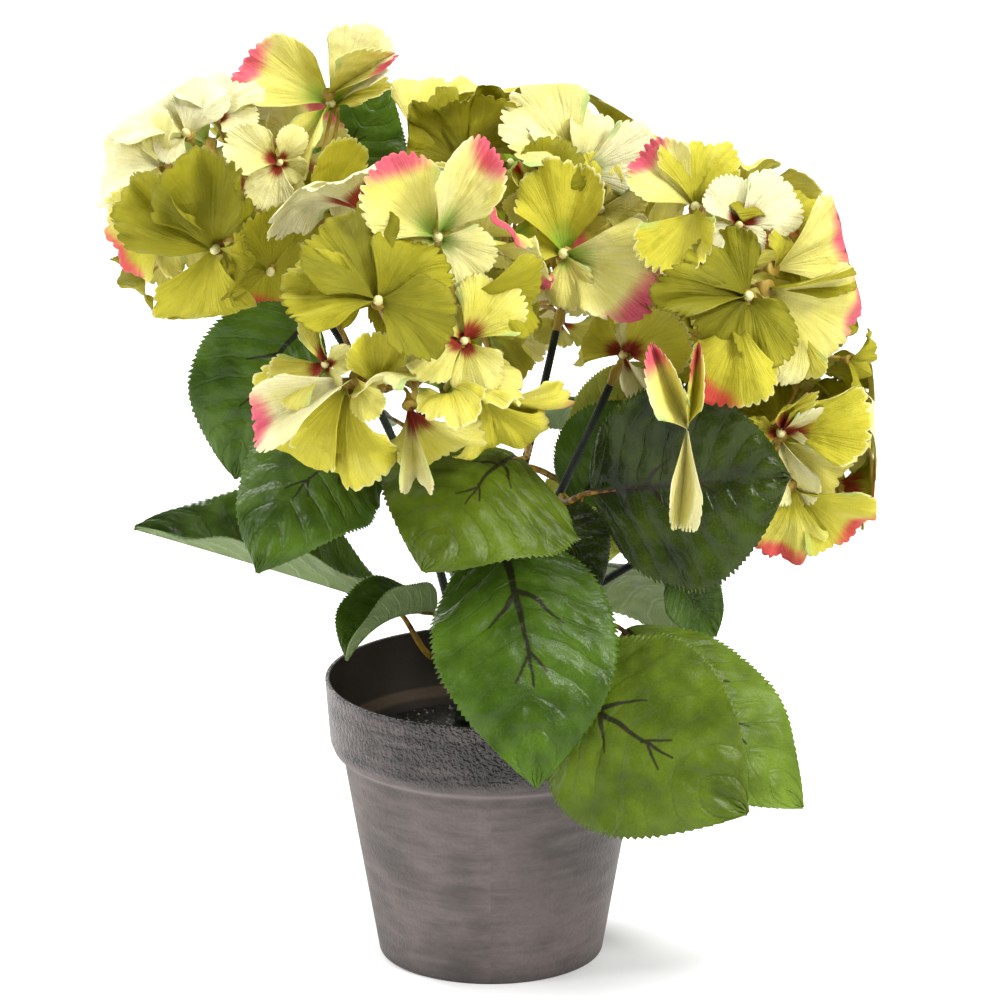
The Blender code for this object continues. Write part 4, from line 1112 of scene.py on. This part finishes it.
def make_stems(tree):
    """The stalk and the stems, with their moulded rings."""
    dark = twig_material("stem plastic", hexed("0C100A"), hexed("1E2818"), 0.34)
    rings = ringed_line(stalk_line(), STALK_RADII, 2 * RING_PITCH)
    stalk = tubes("stalk_moulding", [rings], tree, STALK_SIDES, dark)
    belongs(stalk, "stem", "stalk")
    for name in STEMS:
        rings = ringed_line(stem_line(name), STEM_RADII, RING_PITCH)
        stem = tubes(name + "_moulding", [rings], tree, LIMB_SIDES, dark)
        belongs(stem, "stem", name)


def leaf_outline(share):
    """Half width of a leaf's blade, as a share of its greatest, from root to tip."""
    shape = share**LEAF_ROOT * (1 - share) ** LEAF_TIP * (1 + LEAF_LEAN * share)
    return np.maximum(shape / LEAF_WIDEST, LEAF_NARROWEST)


def leaf_surface(leaf, share, across, lift):
    """Points of a leaf's middle surface, lifted along its face."""
    _, _, root, middle, tip, face, width, fold, twist, _ = leaf
    line = [cm(p) for p in (root, middle, tip)]
    place = through(line, share)
    along = unit(through(line, share + 0.01) - place)
    faces = turned_about(np.broadcast_to(heading(*face), along.shape), along, np.radians(twist) * share)
    upper = square_to(faces, along)
    side = np.cross(upper, along)
    reach = (width * CM / 2 * leaf_outline(share) * across)[..., None]
    bent = radians(fold)
    lift = np.asarray(lift)[..., None]
    return place + side * reach * cos(bent) + upper * (np.abs(reach) * sin(bent) + lift)


def leaf_length(leaf):
    root, middle, tip = (cm(p) for p in leaf[2:5])
    return np.linalg.norm(middle - root) + np.linalg.norm(tip - middle)


def make_leaf(name, leaf, materials, seed):
    """A toothed blade, quilted between its side veins and rippled at its margin."""
    chance = np.random.default_rng(seed)
    shares = np.linspace(0, 1, TOOTH_ROWS * LEAF_TEETH + 1)
    t = np.linspace(-1, 1, LEAF_COLUMNS)
    spread = np.sign(t) * (1 - (1 - np.abs(t)) ** 1.35)
    share, across = np.meshgrid(shares, spread, indexing="ij")
    tooth = (np.arange(shares.size) % TOOTH_ROWS)[:, None] / (TOOTH_ROWS - 1)
    sizes = np.repeat(chance.uniform(*TOOTH_UNEVEN, (LEAF_TEETH + 1, 2)), TOOTH_ROWS, axis=0)[:shares.size]
    margin = np.abs(across) ** 10 * np.where(across > 0, sizes[:, :1], sizes[:, 1:])
    toothed = across * (1 + TOOTH * (tooth - 0.5) * margin)
    leaning = TOOTH_LEAN / LEAF_TEETH * margin * (tooth - 0.5) * (share < TOOTHED_TO)
    moved = np.clip(share + leaning, 0, 1)

    side = np.abs(across)
    count = VEIN_PAIRS * (share - VEIN_SWEEP * side**1.2)
    width = leaf[6] * CM
    quilt = QUILT * width / QUILTED_WIDTH
    pillow = np.abs(np.sin(pi * count)) ** 0.7 * np.minimum(side / 0.15, 1) * (1 - side**4)
    groove = -MIDRIB[0] * np.exp(-((across / MIDRIB[1]) ** 2))
    phase = chance.uniform(0, 2 * pi, 4)
    waves = chance.uniform(*RIPPLE_WAVES, 2)
    ripple = np.where(across > 0, np.sin(2 * pi * waves[0] * share + phase[0]),
                      np.sin(2 * pi * waves[1] * share + phase[1]))
    curl = np.sin(2 * pi * CURL_WAVES * share + phase[2]) * side**2
    lift = quilt * (pillow + groove) + width * (RIPPLE * ripple * side**3 + CURL * curl)
    lift = lift * np.minimum(share / FLAT_ROOT, 1)
    grid = leaf_surface(leaf, moved, toothed, lift)

    points, faces, counts = cloth_shell(grid, LEAF_CLOTH)
    slots = [0] * counts[0] + [1] * (counts[1] + counts[2])
    blade = mesh_piece(name + "_blade", points, faces, materials, slots=slots)
    length = leaf_length(leaf)
    off = width / 2 * leaf_outline(share) * across / length
    for label, x, y in (("leaf", share, off), ("veins", across, count)):
        add_map(blade, label, np.tile(np.stack([x, y], axis=-1).reshape(-1, 2), (2, 1)))
    x = BAKE_MARGIN + (0.5 - 2 * BAKE_MARGIN) * (across + 1) / 2
    y = BAKE_MARGIN + (1 - 2 * BAKE_MARGIN) * share
    halves = [np.stack([x + shift, y], -1).reshape(-1, 2) for shift in (0, 0.5)]
    add_map(blade, "OFBake", np.concatenate(halves))
    belongs(blade, "leaf", name)


def petiole_line(leaf):
    """From just clear of the stem's side, in a bow, to a little way under the blade."""
    stem, share, root = leaf[0], leaf[1], cm(leaf[2])
    line = stalk_line() if stem == "stalk" else stem_line(stem)
    radii = STALK_RADII if stem == "stalk" else STEM_RADII
    core = through(line, share)
    out = square_to(root - core, unit(through(line, share + 0.02) - core))
    foot = core + out * (radii[0] + (radii[1] - radii[0]) * share + GAP)
    start = foot + out * PETIOLE_RADIUS
    end = leaf_surface(leaf, np.array(PETIOLE_OVERLAP), np.array(0.0), -LEAF_CLOTH)
    into = unit(end - root)
    reach = np.linalg.norm(root - start)
    leave, arrive = start + out * reach * PETIOLE_BOW[0], root - into * reach * PETIOLE_BOW[1]
    s = np.linspace(0, 1, PETIOLE_PARTS)[:, None]
    bow = start * (1 - s) ** 3 + leave * 3 * s * (1 - s) ** 2 + arrive * 3 * s**2 * (1 - s) + root * s**3
    points = np.concatenate([[foot], bow, [end]])
    taper = np.linspace(*PETIOLE_TAPER, PETIOLE_PARTS - 1)
    return points, PETIOLE_RADIUS * np.concatenate([PETIOLE_FOOT, taper, [PETIOLE_END]])


def make_leaves(tree):
    blades = {tone: [leaf_material(tone, under) for under in (False, True)] for tone in LEAF_TONES}
    brown = twig_material("petiole plastic", hexed("4C3210"), hexed("9A7A28"), 0.3)
    for seed, (name, leaf) in enumerate(LEAVES.items()):
        make_leaf(name, leaf, blades[leaf[-1]], 100 + seed)
        petiole = tubes(name + "_petiole", [petiole_line(leaf)], tree, LIMB_SIDES, brown)
        belongs(petiole, "leaf", name)


# Flower heads


def spread_headings(count):
    """Evenly spread unit vectors."""
    for i in range(count):
        height = 1 - 2 * (i + 0.5) / count
        turn = pi * (1 + sqrt(5)) * i
        flat = sqrt(1 - height * height)
        yield np.array((flat * sin(turn), -flat * cos(turn), height))


def angle_between(a, b):
    return np.degrees(np.arccos(np.clip(np.dot(unit(a), unit(b)), -1, 1)))


def head_space(name):
    """What bounds a head: its middle, its round, and planes as a point and the way out."""
    centre, radius = cm(HEADS[name][1]), HEADS[name][2]
    planes = []
    for other, (_, other_centre, other_radius) in HEADS.items():
        if other != name:
            way = cm(other_centre) - centre
            share = radius / (radius + other_radius)
            planes.append((centre + way * share - unit(way) * PRESS_CLEAR, unit(way)))
    planes += [(cm(place), heading(*way)) for place, way in SCREENS.get(name, ())]
    return centre, radius * CM + ROUND_EXCESS, planes


def kept_in(points, space, reach):
    """Where points of a floret end up in its head's space. A front floret, which has a reach, may leave
    the round, and a loose one the planes too."""
    centre, limit, planes = space
    out = np.linalg.norm(points - centre, axis=-1, keepdims=True)
    if reach > LOOSE:
        return points
    if not reach:
        shrunk = centre + (points - centre) * (limit + (out - limit) * ROUND_KEEP) / np.maximum(out, 1e-9)
        points = np.where(out > limit, shrunk, points)
    for place, way in planes:
        past = np.sum((points - place) * way, axis=-1, keepdims=True)
        points = points - way * np.maximum(past, 0) * (1 - PRESS_KEEP)
    return points


def for_petals(value, step=0):
    """A value for each petal: those listed, or one value with a step from petal to petal."""
    return value if isinstance(value, tuple) else tuple(value + step * k for k in range(PETALS))


def florets(name, chance):
    """Every floret of a head: heart, facing, turns, sizes, pinches, tones, spray, pink tips, and its
    reach if it is a front floret, else 0."""
    radius = HEADS[name][2] * CM
    tip = stem_line(HEADS[name][0])[2]
    centre, _, planes = head_space(name)
    found = []
    for bearing, rise, reach, turn, tilt, turns, *looks, spray, tips in FRONT_FLORETS[name]:
        shapes = [for_petals(turns, 360 / PETALS), *(for_petals(look) for look in looks)]
        found.append((heading(bearing, rise), reach, heading(turn, tilt), *shapes, spray, tips, reach))
    for i, way in enumerate(spread_headings(SPREAD_POINTS)):
        beyond = any(np.dot(centre + way * radius - place, out) > 0 for place, out in planes)
        crowded = any(angle_between(way, other[0]) < FLORETS_APART for other in found)
        near_stem = angle_between(way, tip - centre) < STEM_CLEAR
        seen = FRONT_FLORETS[name] and np.dot(way, heading(0, CAMERA_DOWN)) > 0
        tone = chance.choice(SPREAD_TONES)
        spray = chance.choice(SPREAD_SPRAYS)
        tips = tuple(k for k in range(PETALS) if chance.random() < SPREAD_TIPS)
        if not (beyond or crowded or near_stem or seen):
            size = SPREAD_SIZES[i % len(SPREAD_SIZES)]
            turns = tuple(i * SPIN_STEP + turn for turn in SPREAD_TURNS)
            sizes = tuple(size * uneven for uneven in SPREAD_UNEVEN)
            shapes = [turns, sizes, for_petals(SPREAD_PINCH), for_petals(tone)]
            found.append((way, SPREAD_REACH, way, *shapes, spray, tips, 0))
    return [(centre + way * radius * reach, *rest) for way, reach, *rest in found]


def floret_axes(facing):
    """Axes of a floret: right and up as seen by whoever it faces, then the way it faces."""
    right = np.array((-facing[1], facing[0], 0.0))
    right = unit(right) if np.linalg.norm(right) > 0.001 else np.array((1.0, 0.0, 0.0))
    return right, np.cross(facing, right), facing


def petal_grid(length, pinch, crumple, chance):
    """A petal's middle surface in its own axes: out along X, across Y, facing Z."""
    columns = LOBES * LOBE_SAMPLES + 1
    share, across = np.meshgrid(PETAL_SHARES, np.linspace(-1, 1, columns), indexing="ij")
    lobe = np.abs(np.sin(pi * LOBES * (across + 1) / 2)) ** LOBE_BLUNT
    slits = chance.uniform(*SLIT_UNEVEN, LOBES + 1)
    cuts = np.interp(np.arange(columns), np.arange(0, columns, LOBE_SAMPLES), slits)
    near_margin = np.clip((share - LOBED_FROM) / (1 - LOBED_FROM), 0, 1)
    lean, flare, wave = chance.normal(0, OUTLINE_UNEVEN)
    uneven = 1 + lean * across + flare * (2 * across**2 - 1) + wave * np.sin(6 * across)
    widened = PETAL_SPREAD * (1 + chance.normal(0, FAN_UNEVEN))
    spread = widened * across * (PETAL_CLAW + (1 - PETAL_CLAW) * share)
    out = share * length * (1 - PETAL_SHOULDER * np.abs(across) ** 2.5) * (1 + (uneven - 1) * share)
    out = out * (1 - SCALLOP * cuts * (1 - lobe) * near_margin)
    x, y = out * np.cos(spread), out * np.sin(spread)
    q = out / length
    lift = length * (PETAL_RISE * q - PETAL_DROOP * q * q)

    phase = chance.uniform(0, 2 * pi, 4)
    broad = chance.uniform(*BROAD_RUFFLE)
    ruffle = broad * np.sin(pi * chance.uniform(*BROAD_WAVES) * across + phase[0])
    fine = chance.uniform(*FINE_RUFFLE) * share
    ruffle = ruffle + fine * np.sin(pi * chance.uniform(*FINE_WAVES) * across + phase[1])
    slant = chance.uniform(-1, 1)
    slanted = chance.uniform(*SLANTED_WAVES) * share + slant * across
    ruffle = ruffle + SLANTED_RUFFLE * np.sin(pi * slanted + phase[2])
    pleat = sum(height * np.sin(pi * waves * across + start)
                for (height, waves), start in zip(PLEATS, phase[2:]))
    pleat = pleat * np.sin(pi * np.minimum(share, 0.9))
    curl = chance.normal(*CURL_BACK) * share**3 + chance.normal(0, CURL_ASIDE) * across * share**2
    ruffled = (ruffle * share**2 * crumple + curl) * (1 - 0.5 * pinch)
    lift = lift + length * (ruffled + pleat + SIDE_LIFT * across)
    bent = pinch * pi / 2
    return np.stack([x, y * cos(bent), lift + np.abs(y) * sin(bent)], axis=-1), share, across


def make_petals(name, found, material, chance):
    """All petals of a head in one piece, each a closed cloth shell."""
    space = head_space(name)
    cells = int(np.ceil(sqrt(2 * PETALS * len(found))))
    points, faces, petal_places, bake_places, dyes_and_light, hearts = [], [], [], [], [], []
    total = cell = 0
    for heart, facing, *shapes, spray, tips, reach in found:
        heart = kept_in(heart, space, reach)
        right, up, front = floret_axes(facing)
        for k, (turn, size, pinch, tone) in enumerate(zip(*shapes)):
            turn = radians(turn)
            crumple = CRUMPLE_PALE + (CRUMPLE_OLIVE - CRUMPLE_PALE) * tone
            grid, share, across = petal_grid(PETAL_LENGTH * size, pinch, crumple, chance)
            out_way, side_way = right * cos(turn) + up * sin(turn), up * cos(turn) - right * sin(turn)
            grid = heart + grid[..., :1] * out_way + grid[..., 1:2] * side_way + grid[..., 2:] * front
            shell, quads, _ = cloth_shell(kept_in(grid, space, reach), PETAL_CLOTH)
            points.append(shell)
            faces.append(quads + total)
            total += len(shell)
            petal_places.append(np.tile(np.stack([across, share], -1).reshape(-1, 2), (2, 1)))
            for _ in range(2):
                x = (cell % cells + CELL_MARGIN + (1 - 2 * CELL_MARGIN) * (across + 1) / 2) / cells
                y = (cell // cells + CELL_MARGIN + (1 - 2 * CELL_MARGIN) * share) / cells
                bake_places.append(np.stack([x, y], -1).reshape(-1, 2))
                cell += 1
            # A petal's tone, partly dye and partly painted light and shade, then its pink tip and where
            # that sits
            shade = tone + chance.normal(0, TONE_UNEVEN)
            dye = (shade, 1.0 if k in tips else 0.0, chance.uniform(-TIP_ASIDE, TIP_ASIDE))
            mark = (float(spray in ("red", "pink")), float(spray == "green"), chance.random())
            dyes_and_light.append(np.tile(dye, (len(shell), 1)))
            hearts.append(np.tile(mark, (len(shell), 1)))
    petals = mesh_piece(name + "_petals", np.concatenate(points), np.concatenate(faces), [material])
    add_map(petals, "petal", np.concatenate(petal_places))
    add_map(petals, "OFBake", np.concatenate(bake_places))
    add_values(petals, "dye", np.concatenate(dyes_and_light), "FLOAT_VECTOR")
    add_values(petals, "heart", np.concatenate(hearts), "FLOAT_VECTOR")
    belongs(petals, "head", name)


def bowed(start, bend, end, count):
    return through((start, (start + 2 * bend + end) / 4, end), np.linspace(0, 1, count))


def make_twigs(name, found, tree, material):
    """The head's short stem, its forks and a bowed pedicel to each floret."""
    centre, radius = cm(HEADS[name][1]), HEADS[name][2] * CM
    _, middle, tip = stem_line(HEADS[name][0])
    way = unit(tip - middle)
    foot, hub = tip + way * GAP, tip + way * HUB_HEIGHT
    space = head_space(name)
    forks = [hub + (centre + toward * radius - hub) * FORK_AT for toward in spread_headings(TWIG_FORKS)]
    swell = HEAD_STEM_RADIUS * np.array(HEAD_STEM_SWELL)
    lines = [(through((foot, (foot + hub) / 2, hub), np.linspace(0, 1, swell.size)), swell)]
    hearts = [kept_in(heart, space, reach) for heart, *_, reach in found]
    held = [heart for heart, (*_, reach) in zip(hearts, found) if reach < HANGING]
    used = set()
    for heart, (_, facing, *_, reach) in zip(hearts, found):
        back = heart - facing * HEART_RADIUS
        if reach > HANGING:
            start = min(held, key=lambda other: np.linalg.norm(other - heart))
        else:
            nearest = min(range(TWIG_FORKS), key=lambda k: np.linalg.norm(forks[k] - back))
            used.add(nearest)
            start = forks[nearest]
        bend = back - facing * 0.3 * np.linalg.norm(start - back)
        taper = TWIG_RADIUS * np.linspace(1.0, 0.85, TWIG_PARTS)
        lines.append((bowed(start, bend, back, TWIG_PARTS), taper))
    for k in used:
        out = unit(forks[k] - hub)
        bend = (hub + way * 0.5 * np.linalg.norm(forks[k] - hub) + forks[k]) / 2
        line = bowed(hub - out * TWIG_RADIUS, bend, forks[k] + out * TWIG_RADIUS, TWIG_PARTS - 1)
        lines.append((line, FORK_RADIUS * np.linspace(1.1, 0.9, TWIG_PARTS - 1)))
    twigs = tubes(name + "_twigs", lines, tree, TWIG_SIDES, material)
    belongs(twigs, "head", name)


def moulded_form(name, profile):
    """A small turned form on the Z axis, for the hearts; it is removed once they are made."""
    turns = np.linspace(0, 2 * pi, FORM_SIDES, endpoint=False)
    rings = [[(r * cos(t), r * sin(t), z) for t in turns] for r, z in profile[1:-1]]
    number = np.arange(len(rings) * FORM_SIDES).reshape(-1, FORM_SIDES)
    top, bottom = number.size, number.size + 1
    faces = ring_faces(number) + fan(top, number[0]) + fan(bottom, number[-1], down=True)
    ends = [(0, 0, profile[0][1]), (0, 0, profile[-1][1])]
    return mesh_piece(name, np.concatenate([np.array(rings).reshape(-1, 3), ends]), faces, [])


def make_hearts(name, found, tree, forms, materials):
    """A calyx behind every floret but the hanging one, and a bead in front of those that are open."""
    space = head_space(name)
    least, share, most = HEART_SIZES
    standing = [floret for floret in found if floret[-1] < HANGING]
    open_ones = [floret for floret in standing if len(floret[2]) > 2]
    for label, form, material, held in zip(("beads", "calyxes"), forms, materials, (open_ones, standing)):
        places = [kept_in(heart, space, reach) for heart, *_, reach in held]
        carrier = mesh_piece(name + "_" + label, places, [], [])
        add_values(carrier, "facing", [floret[1] for floret in held], "FLOAT_VECTOR")
        sizes = [min(most, least + share * max(floret[3])) for floret in held]
        add_values(carrier, "size", sizes)
        hearts = grown(name + "_" + label, carrier, tree, {"Form": form, "Material": material})
        belongs(hearts, "head", name)


def make_heads(tube_tree):
    cloth, bead = petal_material(), bead_material()
    olive = twig_material("twig plastic", hexed("84681F"), hexed("AC923C"), 0.4)
    hearts_tree = heart_group()
    forms = [moulded_form(name, [(r * CM, z * CM) for r, z in profile])
             for name, profile in (("bead_form", BEAD), ("calyx_form", CALYX))]
    for seed, name in enumerate(HEADS):
        chance = np.random.default_rng(40 + seed)
        found = florets(name, chance)
        make_petals(name, found, cloth, chance)
        make_twigs(name, found, tube_tree, olive)
        make_hearts(name, found, hearts_tree, forms, (bead, olive))
    for form in forms:
        bpy.data.objects.remove(form)


# Studio


FLOOR_REACH = 12.0  # metres
FLOOR_GREYS = (0.86, 0.89)
# Dome: its greys behind, in front and overhead
DOME_GREYS = (0.85, 0.18, 0.42)
# Soft boxes: place and aimed point in metres, size in metres, watts
SOFTBOXES = {
    "right_softbox": ((1.3, -1.2, 1.5), (0, 0, 0.2), (0.6, 0.6), 40),
    "back_softbox": ((-0.9, 1.1, 1.5), (0, 0, 0.25), (1.1, 0.9), 42),
    "left_softbox": ((-1.8, -0.6, 0.8), (0, 0, 0.2), (0.5, 1.0), 16),
}
TOP_LIGHT = 2.15  # watts a square metre
TOP_LIGHT_SPREAD = 28  # degrees, as the next
TOP_LIGHT_LEAN = (14, 16)


def grey(value):
    return (value, value, value)


def make_floor():
    material, maker, finish = new_material("floor paper")
    tone = maker.noise(maker.place(), 3.0, 0)
    colour = maker.mix(tone, grey(FLOOR_GREYS[0]), grey(FLOOR_GREYS[1]))
    finish(Base_Color=colour, Roughness=0.9, Specular_IOR_Level=0.1)
    reach = FLOOR_REACH
    corners = [(-reach, -reach, 0), (reach, -reach, 0), (reach, reach, 0), (-reach, reach, 0)]
    floor = mesh_piece("floor", corners, [[0, 1, 2, 3]], [material], smooth=False)


def soft_box(name, place, target, size, power):
    light = bpy.data.lights.new(name, "AREA")
    light.shape = "RECTANGLE"
    light.size, light.size_y = size
    light.energy = power
    lamp = bpy.data.objects.new(name, light)
    lamp.location = place
    lamp.rotation_euler = (Vector(target) - Vector(place)).to_track_quat("-Z", "Y").to_euler()
    bpy.context.scene.collection.objects.link(lamp)


def make_studio():
    """A pale dome, darker in front and overhead, with soft boxes and a wide even top light."""
    world = bpy.data.worlds.new("studio")
    world.use_nodes = True
    maker = Maker(world.node_tree)
    side, depth, height = maker.parts(maker.node("ShaderNodeTexCoord"))
    behind, front, overhead = DOME_GREYS
    dome = maker.mix(maker.step(depth - side * 0.25, 0.5, -0.7), grey(behind), grey(front))
    dome = maker.mix(maker.step(height, 0.3, 0.95), dome, grey(overhead))
    world.node_tree.links.new(dome.output, world.node_tree.nodes["Background"].inputs["Color"])
    bpy.context.scene.world = world
    for name, (place, target, size, power) in SOFTBOXES.items():
        soft_box(name, place, target, size, power)
    sun = bpy.data.lights.new("top_light", "SUN")
    sun.energy = TOP_LIGHT
    sun.angle = radians(TOP_LIGHT_SPREAD)
    lamp = bpy.data.objects.new("top_light", sun)
    lamp.rotation_euler = (radians(TOP_LIGHT_LEAN[0]), radians(TOP_LIGHT_LEAN[1]), 0)
    bpy.context.scene.collection.objects.link(lamp)
    bpy.context.scene.view_settings.view_transform = "Standard"


def make_camera():
    camera = bpy.data.cameras.new("camera")
    camera.sensor_width = 36
    camera.lens = CAMERA_LENS * camera.sensor_width
    camera.clip_end = 50
    holder = bpy.data.objects.new("camera", camera)
    holder.location = CAMERA_PLACE
    holder.rotation_euler = (radians(90 - CAMERA_DOWN), 0, 0)
    bpy.context.scene.collection.objects.link(holder)
    bpy.context.scene.camera = holder


def main():
    make_camera()
    make_studio()
    make_floor()
    make_pot()
    make_grit(make_filler())
    tube_tree = tube_group()
    make_stems(tube_tree)
    make_leaves(tube_tree)
    make_heads(tube_tree)


main()
